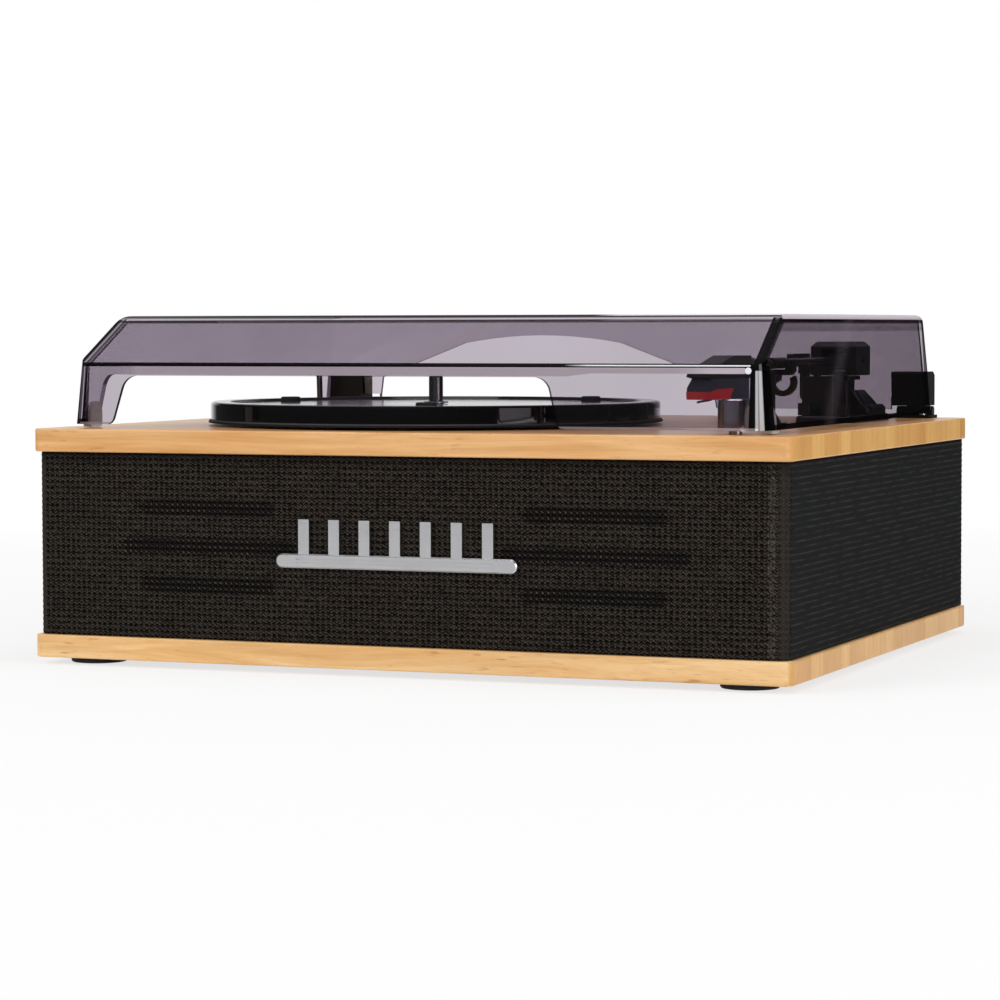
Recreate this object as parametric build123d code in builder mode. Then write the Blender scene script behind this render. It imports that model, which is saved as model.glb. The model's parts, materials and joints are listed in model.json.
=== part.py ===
from build123d import *
import os
from math import atan2, cos, degrees, radians, sin, tan

# A compact record player in a cloth-wrapped wooden cabinet, under a smoked lid. Millimetres.
# The origin is the middle of the footprint, on the surface that it stands on.
# X runs to the right, Y to the back and Z up.

# Cabinet
WIDTH = 380.0
DEPTH = 320.0
FOOT_H = 3.0
FOOT_R = 13.5
FOOT_X, FOOT_Y = 165.0, 140.0
BOARD_T = 11.0
BOARD_CORNER = 5.0
BOARD_SOFT = 0.8
BOX_H = 110.0
BASE_TOP = FOOT_H + BOARD_T
DECK = FOOT_H + BOX_H
DECK_UNDER = DECK - BOARD_T
CLOTH_W, CLOTH_D = 377.0, 316.0
CLOTH_T = 1.0
CLOTH_CORNER = 6.0
SIDE_T = 12.0
FRONT_T = 9.0
BACK_T = 9.0
BACK_RECESS = 7.0
PANEL_W, PANEL_D = CLOTH_W - 2 * CLOTH_T, CLOTH_D - 2 * CLOTH_T
INNER_W = PANEL_W - 2 * SIDE_T
BACK_FACE = PANEL_D / 2 - BACK_RECESS
PANEL_H = DECK_UNDER - BASE_TOP
PANEL_MID = (DECK_UNDER + BASE_TOP) / 2

# Speakers, their slots in the baffle, and the badge
SPEAKER_X = 97.0
SLOT_H = 7.5
SLOT_PITCH = 18.2
SLOT_LONG, SLOT_SHORT = 91.0, 70.0
SPEAKER_R = 39.5
BAFFLE_BACK = -PANEL_D / 2 + FRONT_T
BADGE_W, BADGE_H, BADGE_T = 121.0, 6.6, 1.9
BADGE_Z = 52.7
BADGE_FACE = -CLOTH_D / 2
BAR_COUNT = 7
BAR_W, BAR_H, BAR_T = 5.4, 16.6, 1.5
BAR_PITCH = 15.4

# Platter and drive
SPIN_X, SPIN_Y = -34.0, -30.0
PLATTER_R = 112.1
PLATTER_LOW, PLATTER_TOP = 114.4, 124.6
DISH_FLOOR = 123.2
SPINDLE_R = 3.55
SPINDLE_TOP = 138.6
SHAFT_R = 4.0
GROOVE_R = 3.5
CLIP_T = 0.7
RUN = 0.05
GAP = 0.35
RING_R = 81.5
PULLEY_R = 5.0
MOTOR_REACH = 98.0
MOTOR_ANGLE = 135.0
MOTOR_X = SPIN_X + MOTOR_REACH * cos(radians(MOTOR_ANGLE))
MOTOR_Y = SPIN_Y + MOTOR_REACH * sin(radians(MOTOR_ANGLE))
BELT_LOW, BELT_H, BELT_T = 116.4, 4.0, 0.8
PAD_REACH = 89.0
PAD_ANGLES = (50.0, 170.0, 290.0)
PAD_TOP = 125.8

# Volume knob
KNOB_X, KNOB_Y = 155.0, -131.0
KNOB_R = 8.0
KNOB_LOW, KNOB_TOP = DECK + 1.5, 128.8

# Tonearm
ARM_X, PIVOT_Y = 142.5, 83.5
TUBE_Z, TUBE_R = 143.7, 2.1
TUBE_FRONT = -77.5
HEAD_TURN = 20.0
HEAD_X, HEAD_Y = 142.7, -78.7
HEAD_L, HEAD_W = 37.0, 12.0
REST_FRONT, REST_BACK = -27.0, -20.0
HOUSING_W, HOUSING_D = 24.0, 26.0
HOUSING_LOW, HOUSING_TOP = 136.4, 153.5
LIFT_R = 24.0
SWING = 38.0

# Lid
LID_W, LID_D = 350.4, 297.3
LID_MID_Y = 0.65
LID_LOW, LID_TOP = 115.0, 167.0
LID_WALL = 2.2
LID_CORNER = 8.0
LID_DRAFT = 5.5
LID_CREASE = 143.8
LID_SLOPE = 30.0
LID_FRONT, LID_BACK = LID_MID_Y - LID_D / 2, LID_MID_Y + LID_D / 2
HINGE_X = 163.0
HINGE_Y, HINGE_Z = 156.0, 116.3
PIN_R = 1.5
KNUCKLE_R = 2.8


def upright(x, y):
    """A plane through an upright axis at (x, y): its first axis is the radius, its second the height."""
    return Plane(origin=(x, y, 0), x_dir=(1, 0, 0), z_dir=(0, -1, 0))


def upright_axis(x, y):
    return Axis((x, y, 0), (0, 0, 1))


def turned(x, y, points):
    """A piece turned about the upright axis at (x, y), from points given as radius and height."""
    with BuildPart() as piece:
        with BuildSketch(upright(x, y)):
            with BuildLine():
                Polyline(*points, close=True)
            make_face()
        revolve(axis=upright_axis(x, y))
    return piece


def rod(x, z, radius, front, back):
    """A round rod along Y."""
    with BuildPart() as piece:
        with BuildSketch(Plane.XZ.offset(-front)):
            with Locations((x, z)):
                Circle(radius)
        extrude(amount=front - back)
    return piece


# The two boards: solid wood, with rounded corners and softened edges
foot_places = [(x, y) for x in (-FOOT_X, FOOT_X) for y in (-FOOT_Y, FOOT_Y)]
FOOT_SCREW_R, FOOT_SCREW_DEPTH = 1.6, 9.0

with BuildPart() as base_board:
    with BuildSketch(Plane.XY.offset(FOOT_H)):
        RectangleRounded(WIDTH, DEPTH, BOARD_CORNER)
    extrude(amount=BOARD_T)
    rims = base_board.edges().group_by(Axis.Z)
    fillet(rims[0] + rims[-1], BOARD_SOFT)
    with BuildSketch(Plane.XY.offset(FOOT_H)):
        with Locations(*foot_places):
            Circle(FOOT_SCREW_R)
    extrude(amount=FOOT_SCREW_DEPTH, mode=Mode.SUBTRACT)

BUSH_R = 6.0
POT_BUSH_R = 3.6
ARM_SHAFT_R = 3.0
HINGE_SCREW_R = 1.1
SPEED_X, SWITCH_X, LEVER_Y = 134.5, 154.0, 49.5
HINGE_SCREW_Y = 146.0
hinge_screw_places = [(side * HINGE_X + dx, HINGE_SCREW_Y) for side in (-1, 1) for dx in (-6.5, 6.5)]

with BuildPart() as deck_board:
    with BuildSketch(Plane.XY.offset(DECK_UNDER)):
        RectangleRounded(WIDTH, DEPTH, BOARD_CORNER)
    extrude(amount=BOARD_T)
    rims = deck_board.edges().group_by(Axis.Z)
    fillet(rims[0] + rims[-1], BOARD_SOFT)
    with BuildSketch(Plane.XY.offset(DECK_UNDER)):
        with Locations((SPIN_X, SPIN_Y)):
            Circle(BUSH_R)
        with Locations((MOTOR_X, MOTOR_Y)):
            Circle(BUSH_R)
        with Locations((KNOB_X, KNOB_Y)):
            Circle(POT_BUSH_R + 0.1)
        with Locations((ARM_X, PIVOT_Y)):
            Circle(BUSH_R)
        with Locations((SPEED_X, LEVER_Y), (SWITCH_X, LEVER_Y)):
            Rectangle(5, 12)
        with Locations(*hinge_screw_places):
            Circle(HINGE_SCREW_R)
    extrude(amount=BOARD_T, mode=Mode.SUBTRACT)

with BuildPart() as feet:
    with BuildSketch():
        with Locations(*foot_places):
            Circle(FOOT_R)
    extrude(amount=FOOT_H)
    chamfer(feet.edges().group_by(Axis.Z)[0], 0.6)
    with BuildSketch():
        with Locations(*foot_places):
            Circle(4.5)
    extrude(amount=FOOT_H - 1, mode=Mode.SUBTRACT)
    with BuildSketch():
        with Locations(*foot_places):
            Circle(FOOT_SCREW_R)
    extrude(amount=FOOT_H, mode=Mode.SUBTRACT)

with BuildPart() as foot_screws:
    with BuildSketch(Plane.XY.offset(0.6)):
        with Locations(*foot_places):
            Circle(3.2)
    extrude(amount=FOOT_H - 1.6)
    with BuildSketch(Plane.XY.offset(FOOT_H - 1)):
        with Locations(*foot_places):
            Circle(FOOT_SCREW_R)
    extrude(amount=FOOT_SCREW_DEPTH)

# The cloth-covered box between the boards
slot_rows = [(row * SLOT_PITCH, SLOT_LONG if row == 0 else SLOT_SHORT) for row in (-1, 0, 1)]

with BuildPart() as front_baffle:
    with BuildSketch(Plane.XZ.offset(-BAFFLE_BACK)):
        with Locations((0, PANEL_MID)):
            Rectangle(INNER_W, PANEL_H)
        for side in (-1, 1):
            for rise, length in slot_rows:
                with Locations((side * SPEAKER_X, PANEL_MID + rise)):
                    SlotOverall(length, SLOT_H, mode=Mode.SUBTRACT)
    extrude(amount=FRONT_T)


def side_panel(side):
    """A side of the box, its two outer upright edges rounded so that the cloth turns softly."""
    with BuildPart() as panel:
        with BuildSketch(Plane.XY.offset(BASE_TOP)):
            with Locations((side * (PANEL_W - SIDE_T) / 2, 0)):
                Rectangle(SIDE_T, PANEL_D)
        extrude(amount=PANEL_H)
        outer = panel.edges().filter_by(Axis.Z).sort_by(Axis.X)
        fillet(outer[-2:] if side > 0 else outer[:2], CLOTH_CORNER - CLOTH_T)
    return panel


left_panel = side_panel(-1)
right_panel = side_panel(1)

SOCKET_Z = 36.0
INLET_X, LEFT_OUT_X, RIGHT_OUT_X, INPUT_X = -122.0, -90.0, -74.0, -52.0
INLET_BODY, OUT_BODY_R, INPUT_BODY_R = 11.0, 5.0, 3.9

with BuildPart() as back_panel:
    with BuildSketch(Plane.XZ.offset(-BACK_FACE)):
        with Locations((0, PANEL_MID)):
            Rectangle(INNER_W, PANEL_H)
        with Locations((INLET_X, SOCKET_Z)):
            Rectangle(INLET_BODY, INLET_BODY, mode=Mode.SUBTRACT)
        with Locations((LEFT_OUT_X, SOCKET_Z), (RIGHT_OUT_X, SOCKET_Z)):
            Circle(OUT_BODY_R, mode=Mode.SUBTRACT)
        with Locations((INPUT_X, SOCKET_Z)):
            Circle(INPUT_BODY_R, mode=Mode.SUBTRACT)
    extrude(amount=BACK_T)
# The sheet wraps the front, both sides and the rear corners, and ends on the side panels' rear edges.
with BuildPart() as grille_cloth:
    with BuildSketch(Plane.XY.offset(BASE_TOP + 0.2)):
        RectangleRounded(CLOTH_W, CLOTH_D, CLOTH_CORNER)
        RectangleRounded(PANEL_W, PANEL_D, CLOTH_CORNER - CLOTH_T, mode=Mode.SUBTRACT)
        with Locations((0, CLOTH_D / 2)):
            Rectangle(INNER_W, 4 * CLOTH_T, mode=Mode.SUBTRACT)
    extrude(amount=PANEL_H - 0.4)

# Front badge: a round-ended bar with two shallow grooves, and a plain row of upright bars on it
with BuildPart() as front_badge:
    with BuildSketch(Plane.XZ.offset(-BADGE_FACE)):
        with Locations((0, BADGE_Z)):
            SlotOverall(BADGE_W, BADGE_H)
    extrude(amount=BADGE_T)
    chamfer(front_badge.edges().group_by(Axis.Y)[0], 0.6)
    with BuildSketch(Plane.XZ.offset(-BADGE_FACE + BADGE_T)):
        with Locations((0, BADGE_Z - 0.9), (0, BADGE_Z + 0.9)):
            SlotOverall(0.82 * BADGE_W, 0.8)
    extrude(amount=-0.5, mode=Mode.SUBTRACT)
    with BuildSketch(Plane.XZ.offset(-BADGE_FACE)):
        with Locations((0, BADGE_Z + (BADGE_H + BAR_H) / 2 - 0.5)):
            with GridLocations(BAR_PITCH, BAR_H, BAR_COUNT, 1):
                Rectangle(BAR_W, BAR_H)
    extrude(amount=BAR_T)


# Speakers, bolted to the back of the baffle
def about_speaker(x, points):
    """A piece turned about a speaker's axis, from points given as radius and depth behind the baffle."""
    with BuildPart() as piece:
        with BuildSketch(Plane(origin=(x, BAFFLE_BACK, PANEL_MID), x_dir=(1, 0, 0), z_dir=(0, 0, 1))):
            with BuildLine():
                Polyline(*points, close=True)
            make_face()
        revolve(axis=Axis((x, 0, PANEL_MID), (0, 1, 0)))
    return piece


BASKET = [(35.5, 0), (SPEAKER_R, 0), (SPEAKER_R, 2), (36.5, 2), (36.5, 6), (21, 24), (16, 24), (16, 22.6),
          (20, 22.6), (35.5, 4.8)]
CONE = [(2, 17.5), (9, 15.5), (28, 4.2), (32, 2.4), (35.3, 4.2), (35.3, 4.9), (32, 3.4), (28, 5.2), (9.5, 16.6),
        (9.5, 21), (8.8, 21), (8.8, 16.9), (2, 18.5)]
MAGNET = [(0, 24), (22, 24), (22, 26.5), (25, 26.5), (25, 36), (22, 36), (22, 38), (0, 38)]


def speaker_pair(points):
    with BuildPart() as pair:
        add(about_speaker(-SPEAKER_X, points).part)
        add(about_speaker(SPEAKER_X, points).part)
    return pair


speaker_frames = speaker_pair(BASKET)
speaker_cones = speaker_pair(CONE)
speaker_magnets = speaker_pair(MAGNET)

# Amplifier board on four spacers, with its tall parts and a finned heat sink
BOARD_MID_X, BOARD_MID_Y = -87.0, 98.0
CIRCUIT_W, CIRCUIT_D, CIRCUIT_T = 96.0, 60.0, 1.6
CIRCUIT_LOW = 24.0

with BuildPart() as amplifier_board:
    with BuildSketch(Plane.XY.offset(CIRCUIT_LOW)):
        with Locations((BOARD_MID_X, BOARD_MID_Y)):
            Rectangle(CIRCUIT_W, CIRCUIT_D)
    extrude(amount=CIRCUIT_T)

with BuildPart() as board_spacers:
    with BuildSketch(Plane.XY.offset(BASE_TOP)):
        with Locations((BOARD_MID_X, BOARD_MID_Y)):
            with GridLocations(CIRCUIT_W - 10, CIRCUIT_D - 10, 2, 2):
                RegularPolygon(3, 6)
    extrude(amount=CIRCUIT_LOW - BASE_TOP)

with BuildPart() as capacitors:
    with BuildSketch(Plane.XY.offset(CIRCUIT_LOW + CIRCUIT_T)):
        with Locations((BOARD_MID_X - 34, BOARD_MID_Y - 16), (BOARD_MID_X - 20, BOARD_MID_Y - 16)):
            Circle(5)
    extrude(amount=20)
    chamfer(capacitors.edges().group_by(Axis.Z)[-1], 0.7)

with BuildPart() as heat_sink:
    with BuildSketch(Plane.XY.offset(CIRCUIT_LOW + CIRCUIT_T)):
        with Locations((BOARD_MID_X + 22, BOARD_MID_Y)):
            Rectangle(34, 3)
            with GridLocations(6, 1, 6, 1):
                Rectangle(1.4, 18)
    extrude(amount=24)

# Rear sockets, reached through the recessed back panel
with BuildPart() as power_inlet:
    with BuildSketch(Plane.XZ.offset(-(BACK_FACE - BACK_T - 4))):
        with Locations((INLET_X, SOCKET_Z)):
            Rectangle(INLET_BODY, INLET_BODY)
    extrude(amount=-(BACK_T + 4))
    with BuildSketch(Plane.XZ.offset(-BACK_FACE)):
        with Locations((INLET_X, SOCKET_Z)):
            Circle(2.9)
            Circle(1.0, mode=Mode.SUBTRACT)
    extrude(amount=10, mode=Mode.SUBTRACT)


def line_socket(x):
    """A phono socket: a flange on the panel and a barrel that a plug's collar slides over."""
    with BuildPart() as socket:
        with BuildSketch(Plane.XZ.offset(-(BACK_FACE - BACK_T - 2))):
            with Locations((x, SOCKET_Z)):
                Circle(OUT_BODY_R)
        extrude(amount=-(BACK_T + 2))
        with BuildSketch(Plane.XZ.offset(-BACK_FACE)):
            with Locations((x, SOCKET_Z)):
                Circle(6)
        extrude(amount=-0.8)
        with BuildSketch(Plane.XZ.offset(-(BACK_FACE + 0.8))):
            with Locations((x, SOCKET_Z)):
                Circle(4.15)
        extrude(amount=-8)
        with BuildSketch(Plane.XZ.offset(-(BACK_FACE + 8.8))):
            with Locations((x, SOCKET_Z)):
                Circle(1.7)
        extrude(amount=12, mode=Mode.SUBTRACT)
    return socket


with BuildPart() as line_outputs:
    add(line_socket(LEFT_OUT_X).part)
    add(line_socket(RIGHT_OUT_X).part)

with BuildPart() as line_input:
    with BuildSketch(Plane.XZ.offset(-(BACK_FACE - BACK_T - 6))):
        with Locations((INPUT_X, SOCKET_Z)):
            Circle(INPUT_BODY_R)
    extrude(amount=-(BACK_T + 6))
    with BuildSketch(Plane.XZ.offset(-BACK_FACE)):
        with Locations((INPUT_X, SOCKET_Z)):
            RegularPolygon(5.2, 6)
    extrude(amount=-2)
    with BuildSketch(Plane.XZ.offset(-(BACK_FACE + 2))):
        with Locations((INPUT_X, SOCKET_Z)):
            Circle(1.8)
    extrude(amount=14, mode=Mode.SUBTRACT)

# Volume control: the potentiometer hangs under the deck, its bush passes through it
with BuildPart() as volume_control:
    with BuildSketch(Plane.XY.offset(DECK_UNDER - 10)):
        with Locations((KNOB_X, KNOB_Y)):
            Circle(8.5)
    extrude(amount=10)
    with BuildSketch(Plane.XY.offset(DECK_UNDER)):
        with Locations((KNOB_X, KNOB_Y)):
            Circle(POT_BUSH_R)
    extrude(amount=BOARD_T - 0.5)
    with BuildSketch(Plane.XY.offset(DECK - 0.5)):
        with Locations((KNOB_X, KNOB_Y)):
            Circle(ARM_SHAFT_R + RUN)
    extrude(amount=-(BOARD_T + 4), mode=Mode.SUBTRACT)

volume_shaft = turned(KNOB_X, KNOB_Y, [(0, DECK_UNDER - 3), (3, DECK_UNDER - 3), (3, KNOB_TOP - 3), (0, KNOB_TOP - 3)])
volume_knob = turned(KNOB_X, KNOB_Y, [
    (3, KNOB_LOW), (KNOB_R, KNOB_LOW), (KNOB_R, KNOB_TOP - 0.6), (KNOB_R - 0.6, KNOB_TOP), (0, KNOB_TOP),
    (0, KNOB_TOP - 3), (3, KNOB_TOP - 3)])

# Spindle in its bush, and the platter that turns on it
spindle_bush = turned(SPIN_X, SPIN_Y, [
    (SHAFT_R, DECK_UNDER - 2), (BUSH_R, DECK_UNDER - 2), (BUSH_R, DECK), (12, DECK), (12, DECK + 1),
    (SHAFT_R, DECK + 1)])
CLIP_LOW = DISH_FLOOR + GAP
SHOULDER = CLIP_LOW + CLIP_T + 0.55
spindle = turned(SPIN_X, SPIN_Y, [
    (0, DECK_UNDER - 12), (SHAFT_R, DECK_UNDER - 12), (SHAFT_R, CLIP_LOW), (GROOVE_R, CLIP_LOW),
    (GROOVE_R, CLIP_LOW + CLIP_T), (SHAFT_R, CLIP_LOW + CLIP_T), (SHAFT_R, SHOULDER - 0.3),
    (SPINDLE_R, SHOULDER), (SPINDLE_R, SPINDLE_TOP - 2.4),
    (SPINDLE_R - 0.5, SPINDLE_TOP - 1.2), (SPINDLE_R - 1.6, SPINDLE_TOP - 0.3), (0, SPINDLE_TOP)])
thrust_washer = turned(SPIN_X, SPIN_Y, [
    (SHAFT_R, DECK + 1), (8, DECK + 1), (8, DECK + 1.8), (SHAFT_R, DECK + 1.8)])

with BuildPart() as spindle_nut:
    with BuildSketch(Plane.XY.offset(DECK_UNDER - 7)):
        with Locations((SPIN_X, SPIN_Y)):
            RegularPolygon(7.5, 6)
            Circle(SHAFT_R, mode=Mode.SUBTRACT)
    extrude(amount=5)

HUB_LOW = DECK + 1.8 + GAP
HUB_R = 11.0
RIM_T = 2.8
WEB_LOW = 120.8
platter_profile = [
    (SHAFT_R + RUN, HUB_LOW), (HUB_R, HUB_LOW), (HUB_R, WEB_LOW), (RING_R - 3, WEB_LOW), (RING_R - 3, 115.6),
    (RING_R, 115.6), (RING_R, WEB_LOW), (PLATTER_R - RIM_T, WEB_LOW), (PLATTER_R - RIM_T, PLATTER_LOW),
    (PLATTER_R + 1.1, PLATTER_LOW), (PLATTER_R + 1.1, PLATTER_LOW + 1), (PLATTER_R, PLATTER_LOW + 1.6),
    (PLATTER_R, PLATTER_TOP - 1.2), (PLATTER_R - 0.4, PLATTER_TOP - 0.4), (PLATTER_R - 1.2, PLATTER_TOP),
    (PLATTER_R - 9, PLATTER_TOP), (PLATTER_R - 10.4, DISH_FLOOR), (SHAFT_R + RUN, DISH_FLOOR)]
pad_places = [(PAD_REACH * cos(radians(a)), PAD_REACH * sin(radians(a))) for a in PAD_ANGLES]

platter = turned(SPIN_X, SPIN_Y, platter_profile)

with BuildPart() as platter_pads:
    with BuildSketch(Plane.XY.offset(DISH_FLOOR)):
        with Locations((SPIN_X, SPIN_Y)):
            with Locations(*pad_places):
                Circle(5)
    extrude(amount=PAD_TOP - DISH_FLOOR)
    chamfer(platter_pads.edges().group_by(Axis.Z)[-1], 0.6)

with BuildPart() as spindle_clip:
    with BuildSketch(Plane.XY.offset(CLIP_LOW)):
        with Locations((SPIN_X, SPIN_Y)):
            Circle(6)
            Circle(GROOVE_R, mode=Mode.SUBTRACT)
            with Locations((5, 0)):
                Rectangle(6, 3.4, mode=Mode.SUBTRACT)
    extrude(amount=CLIP_T)

# Motor under the deck on three grommets, its pulley inside the platter's rim, and the belt
GROMMET_REACH = 22.0
GROMMET_H = 2.4
MOTOR_PLATE_T = 1.5
MOTOR_PLATE_LOW = DECK_UNDER - GROMMET_H - MOTOR_PLATE_T
MOTOR_R, MOTOR_H = 16.0, 21.0

with BuildPart() as motor_grommets:
    with BuildSketch(Plane.XY.offset(DECK_UNDER - GROMMET_H)):
        with Locations((MOTOR_X, MOTOR_Y)):
            with PolarLocations(GROMMET_REACH, 3, 90):
                Circle(4)
    extrude(amount=GROMMET_H)

with BuildPart() as motor_plate:
    with BuildSketch(Plane.XY.offset(MOTOR_PLATE_LOW)):
        with Locations((MOTOR_X, MOTOR_Y)):
            with PolarLocations(GROMMET_REACH, 3, 90):
                Circle(5)
            make_hull()
            Circle(4.1, mode=Mode.SUBTRACT)
    extrude(amount=MOTOR_PLATE_T)

MOTOR_SHAFT_R = 1.0
motor = turned(MOTOR_X, MOTOR_Y, [
    (MOTOR_SHAFT_R + RUN, MOTOR_PLATE_LOW - MOTOR_H), (MOTOR_R - 1, MOTOR_PLATE_LOW - MOTOR_H),
    (MOTOR_R, MOTOR_PLATE_LOW - MOTOR_H + 1), (MOTOR_R, MOTOR_PLATE_LOW), (4, MOTOR_PLATE_LOW),
    (4, MOTOR_PLATE_LOW + 3), (MOTOR_SHAFT_R + RUN, MOTOR_PLATE_LOW + 3)])
motor_shaft = turned(MOTOR_X, MOTOR_Y, [
    (0, MOTOR_PLATE_LOW - MOTOR_H + 2), (MOTOR_SHAFT_R, MOTOR_PLATE_LOW - MOTOR_H + 2), (MOTOR_SHAFT_R, 120), (0, 120)])
motor_pulley = turned(MOTOR_X, MOTOR_Y, [
    (MOTOR_SHAFT_R, 114.6), (PULLEY_R + 1, 114.6), (PULLEY_R + 1, 115.4), (PULLEY_R, 115.9), (PULLEY_R, 120),
    (MOTOR_SHAFT_R, 120)])


def belt_outline(extra):
    """The outline round the platter's ring and the pulley, this far outside them."""
    with BuildSketch(Plane.XY.offset(BELT_LOW)) as outline:
        with Locations((SPIN_X, SPIN_Y)):
            Circle(RING_R + extra)
        with Locations((MOTOR_X, MOTOR_Y)):
            Circle(PULLEY_R + extra)
        make_hull()
    return outline.sketch


with BuildPart() as drive_belt:
    extrude(belt_outline(GAP + BELT_T), amount=BELT_H)
    extrude(belt_outline(GAP), amount=BELT_H, mode=Mode.SUBTRACT)

# Tonearm base: a plate, a sloped foot, a column that carries the arm, and the lift's block in front of it
PLATE_T = 3.4
PLATE_TOP = DECK + PLATE_T
SKIRT_LOW, SKIRT_TOP = 121.2, 128.7
COLUMN_TOP = 136.0
PLUNGER_X, PLUNGER_Y, PLUNGER_R = 137.1, 60.1, 2.0
CUE_X, CUE_W = 118.75, 3.5
CUE_Y, CUE_Z, CUE_PIN_R = 100.0, 127.0, 1.5
SLIDE = 4.0

with BuildPart() as arm_base:
    with BuildSketch(Plane.XY.offset(DECK)):
        with Locations((145.5, 78)):
            RectangleRounded(31, 70, 4)
    extrude(amount=PLATE_T)
    chamfer(arm_base.edges().group_by(Axis.Z)[-1], 0.8)
    with BuildSketch(Plane.XY.offset(PLATE_TOP)):
        with Locations((145, 96)):
            RectangleRounded(29, 32, 4)
    extrude(amount=SKIRT_LOW - PLATE_TOP)
    chamfer(arm_base.edges().group_by(Axis.Z)[-1], 1.6)
    with BuildSketch(Plane.XY.offset(SKIRT_LOW)):
        with Locations((144, 94.5)):
            RectangleRounded(24, 27, 3)
    with BuildSketch(Plane.XY.offset(SKIRT_TOP)):
        with Locations((142.9, 90)):
            RectangleRounded(16.8, 20, 3)
    loft()
    with BuildSketch(Plane.XY.offset(PLATE_TOP)):
        with Locations((ARM_X, PIVOT_Y)):
            RectangleRounded(12, 14, 2)
    extrude(amount=COLUMN_TOP - PLATE_TOP)
    with BuildSketch(Plane.XY.offset(COLUMN_TOP - 2)):
        with Locations((ARM_X, PIVOT_Y)):
            RectangleRounded(17, 19, 3)
    extrude(amount=2)
    with BuildSketch(Plane.XY.offset(PLATE_TOP)):
        with Locations((138.5, 66.5)):
            RectangleRounded(17, 22, 1.5)
    extrude(amount=COLUMN_TOP - PLATE_TOP)
    with BuildSketch(Plane.YZ.offset(CUE_X + CUE_W / 2 + 2 * GAP)):
        with Locations((CUE_Y, CUE_Z)):
            Circle(3.6)
    extrude(amount=18)
    with BuildSketch(Plane.YZ.offset(CUE_X - CUE_W / 2)):
        with Locations((CUE_Y, CUE_Z)):
            Circle(CUE_PIN_R)
    extrude(amount=18)
    with BuildSketch(Plane.XY.offset(COLUMN_TOP)):
        with Locations((PLUNGER_X, PLUNGER_Y)):
            Circle(PLUNGER_R + RUN)
    extrude(amount=-14, mode=Mode.SUBTRACT)
    with BuildSketch(Plane.XY.offset(COLUMN_TOP)):
        with Locations((ARM_X, PIVOT_Y)):
            Circle(ARM_SHAFT_R + RUN)
    extrude(amount=-(COLUMN_TOP - DECK), mode=Mode.SUBTRACT)
    with BuildSketch(Plane.XY.offset(PLATE_TOP)):
        with Locations((SPEED_X, LEVER_Y), (SWITCH_X, LEVER_Y)):
            Rectangle(3.2, 9)
    extrude(amount=-PLATE_T, mode=Mode.SUBTRACT)


def slide_switch(x):
    """A lever in one of the base's two slots: a flat stem and a ribbed finger piece, at the front end."""
    y = LEVER_Y - SLIDE / 2
    with BuildPart() as switch:
        with BuildSketch(Plane.XY.offset(DECK - 4)):
            with Locations((x, y)):
                Rectangle(2.4, 3.6)
        extrude(amount=PLATE_T + 4 + GAP)
        with BuildSketch(Plane.XY.offset(PLATE_TOP + GAP)):
            with Locations((x, y)):
                RectangleRounded(6.4, 6, 1)
        extrude(amount=6)
        with BuildSketch(Plane.XY.offset(PLATE_TOP + GAP + 6)):
            with Locations((x, y)):
                with GridLocations(1, 1.8, 1, 3):
                    Rectangle(6.4, 0.7)
        extrude(amount=-0.6, mode=Mode.SUBTRACT)
    return switch


speed_selector = slide_switch(SPEED_X)
auto_stop_switch = slide_switch(SWITCH_X)

# Lift bar on its plunger: an arc about the arm's pivot, under the tube wherever the arm points
BAR_UNDER, BAR_TOP = 137.4, 141.2

with BuildPart() as lift_bar:
    with BuildSketch(Plane.XY.offset(BAR_UNDER)):
        with BuildLine():
            inner = CenterArc((ARM_X, PIVOT_Y), LIFT_R - 1.8, 274, -SWING - 6)
            outer = CenterArc((ARM_X, PIVOT_Y), LIFT_R + 1.8, 274, -SWING - 6)
            Line(inner @ 0, outer @ 0)
            Line(inner @ 1, outer @ 1)
        make_face()
    extrude(amount=BAR_TOP - BAR_UNDER)
    with BuildSketch(Plane.XY.offset(COLUMN_TOP - 9)):
        with Locations((PLUNGER_X, PLUNGER_Y)):
            Circle(PLUNGER_R)
    extrude(amount=BAR_UNDER - COLUMN_TOP + 9.6)

# Cue lever: it turns on a pin at the column's left side and reaches forward beside the housing
LEVER_TOP, LEVER_FRONT, LEVER_T = 147.3, 73.2, 2.6

with BuildPart() as cue_lever:
    with BuildSketch(Plane.YZ.offset(CUE_X - CUE_W / 2)):
        with BuildLine():
            FilletPolyline((CUE_Y - 3.6, CUE_Z), (CUE_Y - 3.6, LEVER_TOP - 4.4), (LEVER_FRONT, LEVER_TOP - LEVER_T),
                           (LEVER_FRONT, LEVER_TOP), (CUE_Y + 3.6, LEVER_TOP), (CUE_Y + 3.6, CUE_Z), radius=1.2)
            ThreePointArc((CUE_Y + 3.6, CUE_Z), (CUE_Y, CUE_Z - 3.6), (CUE_Y - 3.6, CUE_Z))
        make_face()
        with Locations((CUE_Y, CUE_Z)):
            Circle(CUE_PIN_R + RUN, mode=Mode.SUBTRACT)
    extrude(amount=CUE_W)

# Arm rest: a stalk with a seat under the sleeve, open on the platter's side, and the lock's pin
SEAT_Z = 140.6
LOCK_X, LOCK_Z, LOCK_PIN_R = 140.7, 137.7, 1.0

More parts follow.
